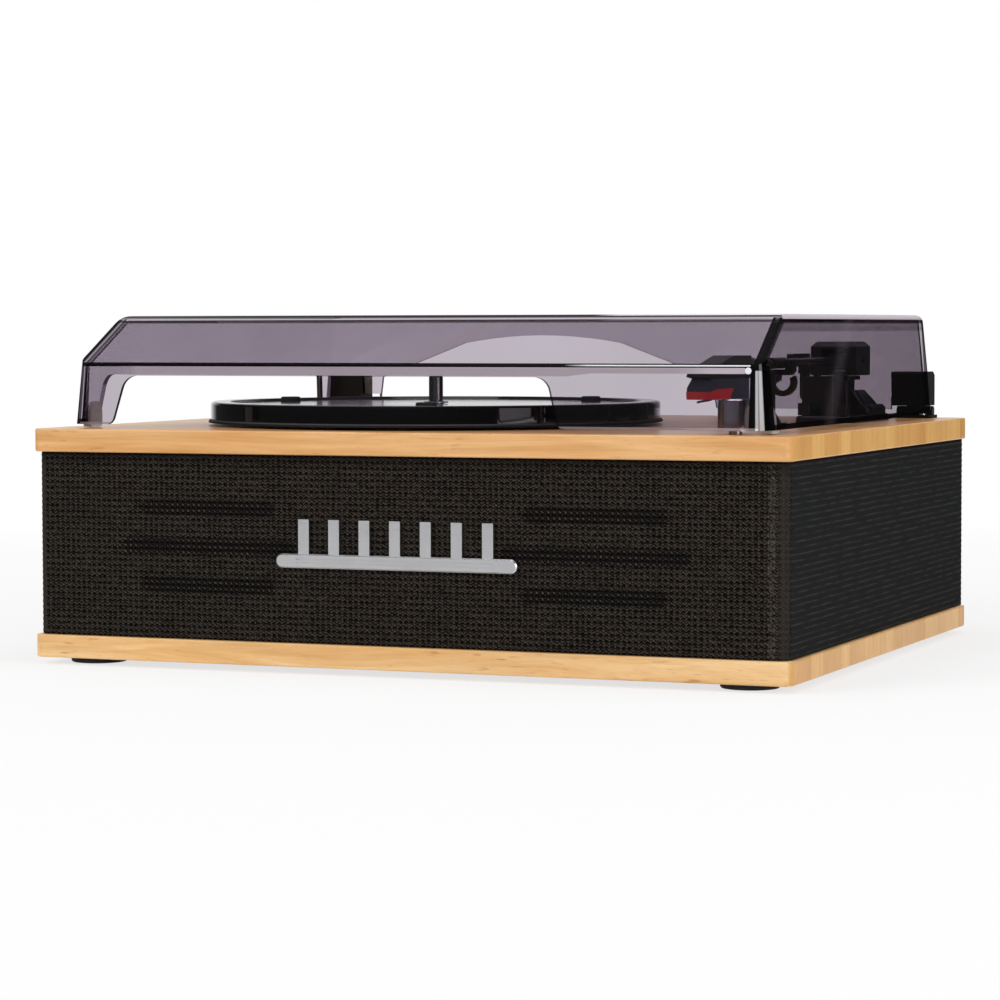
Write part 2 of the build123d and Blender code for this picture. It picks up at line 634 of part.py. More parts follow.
with BuildPart() as arm_rest:
    with BuildSketch(Plane.XZ.offset(-REST_BACK)):
        with BuildLine():
            Polyline((134.5, DECK + 2), (134.5, SEAT_Z - 1.2), (136, SEAT_Z), (146.4, SEAT_Z), (146.4, 145.2),
                     (150.2, 145.2), (150.2, SEAT_Z - 1), (148.5, SEAT_Z - 2.7), (142.9, SEAT_Z - 2.7),
                     (142.9, 135.6), (139.6, 133.4), (139.6, 120), (142.5, DECK + 2), close=True)
        make_face()
    extrude(amount=REST_BACK - REST_FRONT)
    with BuildSketch(Plane.XY.offset(DECK)):
        with Locations((138.5, (REST_FRONT + REST_BACK) / 2)):
            RectangleRounded(13, 14, 3)
    extrude(amount=2)
    with BuildSketch(Plane.XZ.offset(-REST_FRONT)):
        with Locations((LOCK_X, LOCK_Z)):
            Circle(LOCK_PIN_R)
    extrude(amount=4.8)

# Arm lock: an open ring that hangs beside the rest and turns up over the sleeve to hold the arm
CLIP_X, CLIP_Z = 146.2, 134.7
CLIP_IN, CLIP_OUT = 4.2, 6.8
CLIP_FROM, CLIP_SPAN = 123.8, 262.8

with BuildPart() as arm_lock:
    with BuildSketch(Plane.XZ.offset(-REST_FRONT + GAP)):
        with BuildLine():
            inner = CenterArc((CLIP_X, CLIP_Z), CLIP_IN, CLIP_FROM, CLIP_SPAN)
            outer = CenterArc((CLIP_X, CLIP_Z), CLIP_OUT, CLIP_FROM, CLIP_SPAN)
            Line(inner @ 0, outer @ 0)
            Line(inner @ 1, outer @ 1)
        make_face()
        with Locations((LOCK_X, LOCK_Z)):
            Circle(2.4)
            Circle(LOCK_PIN_R + RUN, mode=Mode.SUBTRACT)
    extrude(amount=4)

# Swinging housing: a capped box open at the front and back, on a shaft in the column
CHEEK = 5.5
FLOOR, ROOF = 2.0, 3.6
PIVOT_R = 1.5

with BuildPart() as arm_housing:
    with BuildSketch(Plane.XY.offset(HOUSING_LOW)):
        with Locations((ARM_X, PIVOT_Y)):
            Rectangle(HOUSING_W, HOUSING_D)
    extrude(amount=HOUSING_TOP - HOUSING_LOW)
    chamfer(arm_housing.edges().group_by(Axis.Z)[-1], 2.5)
    with BuildSketch(Plane.XZ.offset(-(PIVOT_Y + HOUSING_D / 2))):
        with Locations((ARM_X, (HOUSING_LOW + FLOOR + HOUSING_TOP - ROOF) / 2)):
            Rectangle(HOUSING_W - 2 * CHEEK, HOUSING_TOP - ROOF - HOUSING_LOW - FLOOR)
    extrude(amount=HOUSING_D, mode=Mode.SUBTRACT)
    with BuildSketch(Plane.XY.offset(HOUSING_LOW)):
        with Locations((ARM_X, PIVOT_Y)):
            Circle(ARM_SHAFT_R)
    extrude(amount=-(HOUSING_LOW - DECK_UNDER + 6))
    with BuildSketch(Plane.YZ.offset(ARM_X - HOUSING_W / 2)):
        with Locations((PIVOT_Y, TUBE_Z)):
            Circle(PIVOT_R + RUN)
    extrude(amount=HOUSING_W, mode=Mode.SUBTRACT)

with BuildPart() as shaft_clip:
    with BuildSketch(Plane.XY.offset(DECK_UNDER - 2.2)):
        with Locations((ARM_X, PIVOT_Y)):
            Circle(6)
            Circle(ARM_SHAFT_R, mode=Mode.SUBTRACT)
    extrude(amount=1)

# The arm itself: pin, block, tube, sleeve, headshell, cartridge and stylus
BLOCK_W = HOUSING_W - 2 * CHEEK - 2 * GAP
SLEEVE_FRONT, SLEEVE_BACK = -38.0, -16.0

with BuildPart() as cross_pin:
    with BuildSketch(Plane.YZ.offset(ARM_X - HOUSING_W / 2 + 0.5)):
        with Locations((PIVOT_Y, TUBE_Z)):
            Circle(PIVOT_R)
    extrude(amount=HOUSING_W - 1)

arm_tube = rod(ARM_X, TUBE_Z, TUBE_R, TUBE_FRONT, PIVOT_Y - 4)

with BuildPart() as arm_block:
    with BuildSketch(Plane.YZ.offset(ARM_X - BLOCK_W / 2)):
        with Locations((PIVOT_Y, TUBE_Z)):
            SlotOverall(20, 7)
            Circle(PIVOT_R, mode=Mode.SUBTRACT)
    extrude(amount=BLOCK_W)
    add(arm_tube.part, mode=Mode.SUBTRACT)

with BuildPart() as arm_sleeve:
    with BuildSketch(Plane.XZ.offset(-SLEEVE_FRONT)):
        with Locations((ARM_X, TUBE_Z)):
            Circle(TUBE_R + 0.6)
            Circle(TUBE_R, mode=Mode.SUBTRACT)
    extrude(amount=SLEEVE_FRONT - SLEEVE_BACK)

HEAD_DIR = (-sin(radians(HEAD_TURN)), -cos(radians(HEAD_TURN)), 0)
HEAD_ACROSS = (-cos(radians(HEAD_TURN)), sin(radians(HEAD_TURN)), 0)
# In the headshell's side plane the first axis runs forward from its rear face and the second is height
HEAD_SIDE = Plane(origin=(HEAD_X, HEAD_Y, 0), x_dir=HEAD_DIR, z_dir=HEAD_ACROSS)
CART_TOP = 137.4

with BuildPart() as headshell:
    with BuildSketch(HEAD_SIDE):
        with BuildLine():
            Polyline((2.7, 147.9), (16.2, 147.9), (HEAD_L - 2.4, 140.9), (HEAD_L - 1, 138.2),
                     (HEAD_L - 4.5, CART_TOP), (2.7, CART_TOP), close=True)
        make_face()
    extrude(amount=HEAD_W / 2, both=True)
    with BuildSketch(Plane.XZ.offset(-HEAD_Y - 10)):
        with Locations((ARM_X, TUBE_Z)):
            Circle(TUBE_R + 1.2)
    extrude(amount=14)
    add(arm_tube.part, mode=Mode.SUBTRACT)

with BuildPart() as cartridge:
    with BuildSketch(HEAD_SIDE):
        with BuildLine():
            Polyline((4, 127.8), (18.6, 127.8), (15.8, 132.9), (28, 132.6), (33, 131.4), (HEAD_L - 1, 131.4),
                     (HEAD_L - 1, 133), (HEAD_L - 4.8, CART_TOP), (4, CART_TOP), close=True)
        make_face()
    extrude(amount=HEAD_W / 2 - 0.3, both=True)

with BuildPart() as stylus_holder:
    with BuildSketch(HEAD_SIDE):
        with BuildLine():
            Polyline((18.6, 127.8), (HEAD_L - 1, 127.8), (HEAD_L - 0.6, 131.4), (33, 131.4), (28, 132.6),
                     (15.8, 132.9), close=True)
        make_face()
    extrude(amount=HEAD_W / 2 - 0.2, both=True)

TIP_FORWARD, TIP_Z = HEAD_L - 2, 126.2
with BuildPart() as stylus:
    with BuildSketch(HEAD_SIDE):
        with BuildLine():
            Polyline((23, 127.8), (28.6, 127.8), (TIP_FORWARD, TIP_Z + 1), (TIP_FORWARD + 0.4, TIP_Z),
                     (TIP_FORWARD - 0.6, TIP_Z), (TIP_FORWARD - 0.8, TIP_Z + 0.2), (27, 127), close=True)
        make_face()
    extrude(amount=0.5, both=True)


# Smoked lid: one drafted shell with a sloped front, notched so that a large record can overhang
def lid_form(inset):
    """The lid's outer form moved inwards by a wall, before its notches are cut."""
    with BuildPart() as form:
        with BuildSketch(Plane.XY.offset(LID_LOW)):
            with Locations((0, LID_MID_Y)):
                RectangleRounded(LID_W - 2 * inset, LID_D - 2 * inset, LID_CORNER - inset)
        extrude(amount=LID_TOP - LID_LOW - inset, taper=LID_DRAFT)
        if inset == 0:
            roof = form.faces().sort_by(Axis.Z)[-1]
            fillet(roof.edges(), LID_CORNER / 2)
        crease_y = LID_FRONT + (LID_CREASE - LID_LOW) * tan(radians(LID_DRAFT))
        drop = inset / cos(radians(LID_SLOPE))
        rise = tan(radians(LID_SLOPE))
        low_y = LID_FRONT - 20
        top_z = LID_TOP - inset
        low_z = LID_CREASE - drop + (low_y - crease_y) * rise
        fold_y = crease_y + (top_z - LID_CREASE + drop) / rise
        with BuildSketch(Plane.YZ.offset(-LID_W)):
            with BuildLine():
                FilletPolyline((low_y, low_z), (fold_y, top_z), (LID_BACK + 10, top_z), radius=12)
                Polyline((LID_BACK + 10, top_z), (LID_BACK + 10, LID_LOW - 5), (low_y, LID_LOW - 5), (low_y, low_z))
            make_face()
        extrude(amount=2 * LID_W, mode=Mode.INTERSECT)
    return form.part


NOTCH_MID, NOTCH_TOP_HALF, NOTCH_LOW_HALF = -38.6, 108.1, 114.4
NOTCH_TOP, NOTCH_FOOT = 138.4, 8.0
SIDE_NOTCH_MID, SIDE_NOTCH_TOP_HALF, SIDE_NOTCH_LOW_HALF = 4.0, 122.0, 128.0
ARCH_MID, ARCH_TOP = -44.2, 156.7
SHOULDER_HALF, SHOULDER_Z = 46.0, 152.5
KNEE_HALF, KNEE_Z = 96.7, 133.4
ARCH_HALF = 100.0
CLAMP_W = 19.2
WALL_NOTCH_TOP, WALL_NOTCH_END = 124.0, 169.0


def notch_form(mid, top_half, low_half):
    """A notch as a flat outline: round top corners, slanted ends, and ends that curve outwards at the foot."""
    foot_z = LID_LOW - 0.2
    foot_half = low_half + NOTCH_FOOT
    with BuildSketch() as outline:
        with BuildLine():
            Polyline((mid - foot_half, LID_LOW - 2), (mid - foot_half, foot_z), (mid - low_half, foot_z),
                     (mid - top_half, NOTCH_TOP), (mid + top_half, NOTCH_TOP), (mid + low_half, foot_z),
                     (mid + foot_half, foot_z), (mid + foot_half, LID_LOW - 2), close=True)
        make_face()
        fillet(outline.vertices().group_by(Axis.Y)[-1], 8)
        inner_corners = outline.vertices().filter_by(lambda v: abs(abs(v.X - mid) - low_half) < 0.1)
        fillet(inner_corners, 4.5)
    return outline.sketch


with BuildPart() as lid:
    add(lid_form(0))
    add(lid_form(LID_WALL), mode=Mode.SUBTRACT)
    with BuildSketch(Plane.XZ.offset(-LID_FRONT - 20)):
        add(notch_form(NOTCH_MID, NOTCH_TOP_HALF, NOTCH_LOW_HALF))
    extrude(amount=30, mode=Mode.SUBTRACT)
    with BuildSketch(Plane.YZ.offset(-LID_W / 2 - 5)):
        add(notch_form(SIDE_NOTCH_MID, SIDE_NOTCH_TOP_HALF, SIDE_NOTCH_LOW_HALF))
    extrude(amount=15, mode=Mode.SUBTRACT)
    with BuildSketch(Plane.XZ.offset(-LID_BACK + 15)):
        with BuildLine():
            top = ThreePointArc((ARCH_MID - SHOULDER_HALF, SHOULDER_Z), (ARCH_MID, ARCH_TOP),
                                (ARCH_MID + SHOULDER_HALF, SHOULDER_Z))
            Polyline(top @ 1, (ARCH_MID + KNEE_HALF, KNEE_Z), (ARCH_MID + ARCH_HALF, LID_LOW - 1),
                     (ARCH_MID - ARCH_HALF, LID_LOW - 1), (ARCH_MID - KNEE_HALF, KNEE_Z), top @ 0)
        make_face()
    extrude(amount=-30, mode=Mode.SUBTRACT)
    with BuildSketch(Plane.XZ.offset(-LID_BACK + 15)):
        for start, end in ((-WALL_NOTCH_END, ARCH_MID - ARCH_HALF + 1), (152.2, WALL_NOTCH_END)):
            with Locations(((start + end) / 2, LID_LOW)):
                Rectangle(end - start, 2 * (WALL_NOTCH_TOP - LID_LOW))
    extrude(amount=-30, mode=Mode.SUBTRACT)
    with BuildSketch(Plane.YZ.offset(-LID_W)):
        with BuildLine():
            Polyline((60, LID_LOW - 1), (60, LID_LOW), (LID_BACK + 1, LID_LOW + 2.5), (LID_BACK + 1, LID_LOW - 1),
                     close=True)
        make_face()
    extrude(amount=2 * LID_W, mode=Mode.SUBTRACT)

# Rubber bumpers inside the side walls, just behind the front corners
BUMPER_Y, BUMPER_W, BUMPER_H = -132.0, 12.0, 9.4


def bumper(side):
    """A round-topped tab that the lid's side wall stands on."""
    inner_x = LID_W / 2 - LID_WALL
    with BuildPart() as tab:
        with BuildSketch(Plane.YZ.offset(side * (inner_x + 1.0))):
            with Locations((BUMPER_Y, DECK + GAP + BUMPER_H / 2)):
                SlotOverall(BUMPER_H + 6, BUMPER_W, rotation=90)
                with Locations((0, -BUMPER_H)):
                    Rectangle(20, BUMPER_H, mode=Mode.SUBTRACT)
        extrude(amount=-side * 4.0)
        add(lid.part, mode=Mode.SUBTRACT)
    return tab


with BuildPart() as lid_bumpers:
    for side in (-1, 1):
        add(bumper(side).part)

# Lid hinges: a base with two ears on the deck, a pin, and a clamp that grips the lid's back wall
EAR_W = 5.6
LUG_W = CLAMP_W - 2 * EAR_W - 2 * GAP
CLAMP_TOP = 137.4
hinge_sides = (-HINGE_X, HINGE_X)

with BuildPart() as hinge_bases:
    with BuildSketch(Plane.XY.offset(DECK)):
        with Locations(*[(x, HINGE_Y - 5.5) for x in hinge_sides]):
            RectangleRounded(CLAMP_W + 4, 15, 1.5)
    extrude(amount=1.6)
    for x in hinge_sides:
        for start in (x - CLAMP_W / 2, x + CLAMP_W / 2 - EAR_W):
            with BuildSketch(Plane.YZ.offset(start)):
                with BuildLine():
                    cap = CenterArc((HINGE_Y, HINGE_Z), KNUCKLE_R, 0, 180)
                    Polyline(cap @ 1, (HINGE_Y - KNUCKLE_R - 1, DECK + 1), (HINGE_Y + 2, DECK + 1), cap @ 0)
                make_face()
            extrude(amount=EAR_W)
    with BuildSketch(Plane.YZ.offset(-HINGE_X - CLAMP_W)):
        with Locations((HINGE_Y, HINGE_Z)):
            Circle(PIN_R)
    extrude(amount=2 * (HINGE_X + CLAMP_W), mode=Mode.SUBTRACT)
    with BuildSketch(Plane.XY.offset(DECK)):
        with Locations(*hinge_screw_places):
            Circle(HINGE_SCREW_R)
        with Locations(*[(x, HINGE_Y + 1) for x in hinge_sides]):
            Rectangle(CLAMP_W - 2 * EAR_W, 9)
    extrude(amount=2, mode=Mode.SUBTRACT)

with BuildPart() as hinge_pins:
    for x in hinge_sides:
        with BuildSketch(Plane.YZ.offset(x - CLAMP_W / 2)):
            with Locations((HINGE_Y, HINGE_Z)):
                Circle(PIN_R)
        extrude(amount=CLAMP_W)

with BuildPart() as hinge_screws:
    with BuildSketch(Plane.XY.offset(DECK + 1.6)):
        with Locations(*hinge_screw_places):
            Circle(2)
    extrude(amount=0.8)
    with BuildSketch(Plane.XY.offset(DECK + 1.6)):
        with Locations(*hinge_screw_places):
            Circle(HINGE_SCREW_R)
    extrude(amount=-9)


def hinge_clamp(x):
    """The channel that grips the lid's back wall, with the lug that turns on the pin."""
    with BuildPart() as clamp:
        with BuildSketch(Plane.YZ.offset(x - CLAMP_W / 2)):
            with BuildLine():
                Polyline((143.6, HINGE_Z + 3.2), (142, CLAMP_TOP - 1), (142.8, CLAMP_TOP), (155.5, CLAMP_TOP),
                         (159, CLAMP_TOP - 2), (159, HINGE_Z + 3.2), close=True)
            make_face()
        extrude(amount=CLAMP_W)
        with BuildSketch(Plane.YZ.offset(x - LUG_W / 2)):
            with BuildLine():
                root = CenterArc((HINGE_Y, HINGE_Z), KNUCKLE_R, 180, 180)
                Polyline(root @ 1, (HINGE_Y + KNUCKLE_R, HINGE_Z + 4), (HINGE_Y - KNUCKLE_R, HINGE_Z + 4), root @ 0)
            make_face()
        extrude(amount=LUG_W)
        with BuildSketch(Plane.YZ.offset(x - CLAMP_W)):
            with Locations((HINGE_Y, HINGE_Z)):
                Circle(PIN_R + RUN)
        extrude(amount=2 * CLAMP_W, mode=Mode.SUBTRACT)
        add(lid.part, mode=Mode.SUBTRACT)
    return clamp


with BuildPart() as hinge_clamps:
    for x in hinge_sides:
        add(hinge_clamp(x).part)

pieces = {
    "base_board": base_board, "deck_board": deck_board, "feet": feet, "foot_screws": foot_screws,
    "front_baffle": front_baffle, "left_panel": left_panel, "right_panel": right_panel, "back_panel": back_panel,
    "grille_cloth": grille_cloth, "front_badge": front_badge, "speaker_frames": speaker_frames,
    "speaker_cones": speaker_cones, "speaker_magnets": speaker_magnets, "amplifier_board": amplifier_board,
    "board_spacers": board_spacers, "capacitors": capacitors, "heat_sink": heat_sink, "power_inlet": power_inlet,
    "line_outputs": line_outputs, "line_input": line_input, "volume_control": volume_control,
    "volume_shaft": volume_shaft, "volume_knob": volume_knob, "spindle_bush": spindle_bush, "spindle": spindle,
    "thrust_washer": thrust_washer, "spindle_nut": spindle_nut, "platter": platter, "platter_pads": platter_pads,
    "spindle_clip": spindle_clip, "motor_grommets": motor_grommets, "motor_plate": motor_plate, "motor": motor,
    "motor_shaft": motor_shaft, "motor_pulley": motor_pulley, "drive_belt": drive_belt, "arm_base": arm_base,
    "speed_selector": speed_selector, "auto_stop_switch": auto_stop_switch, "lift_bar": lift_bar,
    "cue_lever": cue_lever, "arm_rest": arm_rest, "arm_lock": arm_lock, "arm_housing": arm_housing,
    "shaft_clip": shaft_clip, "cross_pin": cross_pin, "arm_block": arm_block, "arm_tube": arm_tube,
    "arm_sleeve": arm_sleeve, "headshell": headshell, "cartridge": cartridge, "stylus_holder": stylus_holder,
    "stylus": stylus, "lid": lid, "lid_bumpers": lid_bumpers, "hinge_bases": hinge_bases,
    "hinge_pins": hinge_pins, "hinge_screws": hinge_screws, "hinge_clamps": hinge_clamps}

os.makedirs("parts", exist_ok=True)
for name, piece in pieces.items():
    piece.part.label = name
    export_step(piece.part, f"parts/{name}.step")
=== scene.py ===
"""Looks of the record player: materials, the woven cloth, studio light and the photograph's camera."""
import json
import math

import bpy
from mathutils import Matrix, Vector


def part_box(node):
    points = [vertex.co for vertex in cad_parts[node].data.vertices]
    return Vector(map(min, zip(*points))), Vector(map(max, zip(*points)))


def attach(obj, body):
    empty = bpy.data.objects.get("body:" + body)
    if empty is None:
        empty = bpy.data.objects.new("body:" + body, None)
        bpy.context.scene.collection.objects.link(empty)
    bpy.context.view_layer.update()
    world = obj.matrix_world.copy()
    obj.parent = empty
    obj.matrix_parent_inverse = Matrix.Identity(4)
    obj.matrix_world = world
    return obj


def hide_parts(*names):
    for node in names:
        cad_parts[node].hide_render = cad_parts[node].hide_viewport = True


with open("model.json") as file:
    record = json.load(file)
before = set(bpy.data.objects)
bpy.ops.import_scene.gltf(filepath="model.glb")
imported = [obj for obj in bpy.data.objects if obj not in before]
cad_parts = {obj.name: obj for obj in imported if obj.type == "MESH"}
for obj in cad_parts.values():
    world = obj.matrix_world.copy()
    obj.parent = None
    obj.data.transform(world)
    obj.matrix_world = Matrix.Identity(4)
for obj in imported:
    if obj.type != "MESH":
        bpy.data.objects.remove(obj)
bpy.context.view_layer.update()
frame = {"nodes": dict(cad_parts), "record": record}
nodes = frame["nodes"]
colours = {m["slot"]: tuple(m["base_color"][:3]) + (1.0,) for m in frame["record"]["materials"]}
MM = 0.001


def middle_of(node_name):
    low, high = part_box(node_name)
    return (low + high) / 2


# Places that the materials and the cloth share, from the frame
SPINDLE = middle_of("spindle")
KNOB = middle_of("volume_knob")
CLOTH_LOW, CLOTH_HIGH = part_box("grille_cloth")
LID_LOW, LID_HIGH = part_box("lid")
PLATTER_FOOT_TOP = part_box("platter")[0].z + 1.8 * MM

# Camera of the photograph
FOCAL_PX, IMAGE_PX, SENSOR = 3255.1, 1000.0, 36.0
CAMERA_PLACE = (0.6018, -1.5271, 0.1611)
YAW, PITCH, ROLL = (math.radians(a) for a in (21.888, 3.036, 0.116))


# Node building
class Graph:
    """A node tree, with short names for the nodes that the materials and the world use."""

    def __init__(self, tree):
        self.tree = tree

    def put(self, kind, inputs=None, **settings):
        node = self.tree.nodes.new(kind)
        for key, value in settings.items():
            setattr(node, key, value)
        for key, value in (inputs or {}).items():
            self.feed(node.inputs[key], value)
        return node

    def feed(self, socket, value):
        if isinstance(value, bpy.types.NodeSocket):
            self.tree.links.new(value, socket)
        else:
            socket.default_value = value

    def math(self, operation, a, b=0.0, clamp=False):
        return self.put("ShaderNodeMath", {0: a, 1: b}, operation=operation, use_clamp=clamp).outputs[0]

    def chain(self, operation, values, clamp=False):
        """One operation run along all the values, its last result cut off at 0 and 1 where clamp is set."""
        total = values[0]
        for value in values[1:-1]:
            total = self.math(operation, total, value)
        return self.math(operation, total, values[-1], clamp)

    def plus(self, *values, clamp=False):
        return self.chain("ADD", values, clamp)

    def times(self, *values, clamp=False):
        return self.chain("MULTIPLY", values, clamp)

    def most(self, *values):
        return self.chain("MAXIMUM", values)

    def minus(self, a, b):
        return self.math("SUBTRACT", a, b)

    def size_of(self, value):
        return self.math("ABSOLUTE", value)

    def above(self, value, limit):
        return self.math("GREATER_THAN", value, limit)

    def below(self, value, limit):
        return self.math("LESS_THAN", value, limit)

    def inside(self, value, low, high):
        return self.times(self.above(value, low), self.below(value, high))

    def between(self, value, low, high, to_low=0.0, to_high=1.0):
        node = self.put("ShaderNodeMapRange", {"Value": value, "From Min": low, "From Max": high,
                                               "To Min": to_low, "To Max": to_high})
        return node.outputs["Result"]

    def ramp(self, value, stops):
        """Values read off a broken line through stops of (place, value)."""
        node = self.put("ShaderNodeValToRGB", {"Fac": value})
        points = node.color_ramp.elements
        points[0].position, points[-1].position = stops[0][0], stops[-1][0]
        for place, _ in stops[1:-1]:
            points.new(place)
        for point, (_, level) in zip(points, stops):
            point.color = (level, level, level, 1)
        return node.outputs["Color"]

    def mix(self, share, a, b):
        node = self.put("ShaderNodeMix", data_type="RGBA")
        self.feed(node.inputs[0], share)
        self.feed(node.inputs[6], a)
        self.feed(node.inputs[7], b)
        return node.outputs[2]

    def split(self, vector):
        return self.put("ShaderNodeSeparateXYZ", {"Vector": vector}).outputs

    def join(self, **parts):
        return self.put("ShaderNodeCombineXYZ", parts).outputs[0]

    def scaled(self, vector, scale):
        return self.put("ShaderNodeMapping", {"Vector": vector, "Scale": scale}).outputs["Vector"]

    def place(self, kind):
        return self.put("ShaderNodeTexCoord").outputs[kind]

    def point(self):
        return self.place("Object")

    def outward(self):
        """The parts of the surface's normal, without their signs."""
        return [self.size_of(part) for part in self.split(self.place("Normal"))]

    def noise(self, vector, scale=1.0, detail=3.0, roughness=0.5, distortion=0.0):
        node = self.put("ShaderNodeTexNoise", {"Vector": vector, "Scale": scale, "Detail": detail,
                                               "Roughness": roughness, "Distortion": distortion})
        return node.outputs["Fac"]

    def bands(self, along, per_metre):
        """Bands across a line, as three random values for each band."""
        cells = self.put("ShaderNodeTexVoronoi", {"W": along, "Scale": per_metre}, voronoi_dimensions="1D")
        return self.put("ShaderNodeSeparateColor", {"Color": cells.outputs["Color"]}).outputs

    def reach(self, centre):
        """The distance of a point from the upright axis through centre."""
        offset = self.put("ShaderNodeVectorMath", {0: self.point(), 1: tuple(centre)}, operation="SUBTRACT")
        flat = self.scaled(offset.outputs[0], (1, 1, 0))
        return self.put("ShaderNodeVectorMath", {0: flat}, operation="LENGTH").outputs["Value"]

    def ray_kinds(self):
        """1 for camera rays, and 1 for glossy and transmission rays."""
        path = self.put("ShaderNodeLightPath").outputs
        return path["Is Camera Ray"], self.most(path["Is Glossy Ray"], path["Is Transmission Ray"])


class Finish(Graph):
    """The nodes of one material, around its Principled shader."""

    def __init__(self, name, **values):
        self.material = bpy.data.materials.new(name)
        self.material.use_nodes = True
        super().__init__(self.material.node_tree)
        self.shader = self.tree.nodes["Principled BSDF"]
        self.shade(**values)

    def shade(self, **values):
        for key, value in values.items():
            self.feed(self.shader.inputs[key.replace("_", " ")], value)

    def bump(self, height, distance, strength):
        node = self.put("ShaderNodeBump", {"Height": height, "Distance": distance, "Strength": strength})
        self.shade(Normal=node.outputs["Normal"])

    def end_in(self, shader):
        self.feed(self.tree.nodes["Material Output"].inputs["Surface"], shader.outputs[0])


def tint(colour, factor):
    return tuple(min(1.0, c * factor) for c in colour[:3]) + (1.0,)


# Wood
STAVES_PER_M, STRIPS_PER_M, STRIP_SHIFT = 34.0, 62.0, 0.004
SIDE_PALE, SIDE_WARM = (0.93, 0.57, 0.19, 1), (0.66, 0.31, 0.075, 1)


def lacquered_wood(name, pale, warm, dark):
    """Glued staves of pale wood under clear lacquer, their grain along X."""
    g = Finish(name, Coat_Weight=0.14, Coat_Roughness=0.12, Specular_IOR_Level=0.25)
    point = g.point()
    across = g.split(point)[1]
    stave_tone = g.bands(across, STAVES_PER_M)[0]
    broad = g.noise(g.scaled(point, (7, 150, 40)), detail=3, roughness=0.55, distortion=0.6)
    rings = g.noise(g.scaled(point, (4, 620, 60)), detail=2, roughness=0.5, distortion=0.3)
    fibres = g.noise(g.scaled(point, (60, 1500, 1500)), detail=4, roughness=0.6)
    pores = g.noise(g.scaled(point, (190, 2600, 1900)), detail=1, roughness=0.5)
    cloudy = g.noise(g.scaled(point, (11, 30, 70)), detail=2)
    figure = g.noise(g.scaled(point, (9, 60, 130)), detail=4, roughness=0.6, distortion=1.2)
    marked = g.between(g.noise(g.scaled(point, (16, 16, 30)), detail=1), 0.50, 0.62)
    dashes = g.between(g.noise(g.scaled(point, (80, 500, 620)), detail=2), 0.60, 0.72)

    body = g.mix(g.between(g.plus(broad, g.times(cloudy, 0.6)), 0.62, 1.02), pale, warm)
    body = g.mix(g.between(stave_tone, 0.0, 1.0, 0.0, 0.34), body, tint(warm, 0.86))
    body = g.mix(g.between(figure, 0.47, 0.66, 0.0, 0.75), body, tint(warm, 0.84))
    body = g.mix(g.between(figure, 0.47, 0.34, 0.0, 0.45), body, tint(pale, 1.12))
    body = g.mix(g.times(dashes, marked, 0.6), body, dark)
    body = g.mix(g.between(g.outward()[0], 0.6, 0.95), body, end_grain(g, point, across, stave_tone))
    body = g.mix(g.between(rings, 0.5, 0.72, 0.0, 0.24), body, dark)
    body = g.mix(g.between(fibres, 0.45, 0.75, 0.0, 0.22), body, tint(dark, 1.5))
    body = g.mix(g.between(pores, 0.70, 0.78, 0.0, 0.55), body, dark)
    g.shade(Base_Color=body, Roughness=g.between(fibres, 0.3, 0.7, 0.30, 0.44))
    g.bump(g.plus(fibres, g.times(pores, -0.5)), 0.00006, 0.35)
    return g.material


def end_grain(g, point, across, stave_tone):
    """The boards' ends: upright strips of unlike tone, where the staves are cut across."""
    strip_tone = g.bands(g.plus(across, g.times(stave_tone, STRIP_SHIFT)), STRIPS_PER_M)[1]
    uneven = g.noise(g.scaled(point, (1, 170, 6)), detail=3, roughness=0.6)
    tone = g.plus(g.times(strip_tone, 0.6), g.times(uneven, 0.5))
    return g.mix(g.between(tone, 0.15, 0.85), SIDE_PALE, SIDE_WARM)


# Cloth
# The painted shade over the baffle's slots, then the grey at the rounded corners
SLOT_SHADE_BLACK = (0.001, 0.001, 0.0013, 1)
ROUND_GREY = (0.034, 0.030, 0.028, 1)
STRETCHED_FROM, STRETCHED_TO = CLOTH_HIGH.x - 10.0 * MM, CLOTH_HIGH.x - 6.4 * MM
SHADE_DEPTH = 7.0 * MM


def wave(g, value, times=1):
    return g.math("COSINE", g.times(value, times))


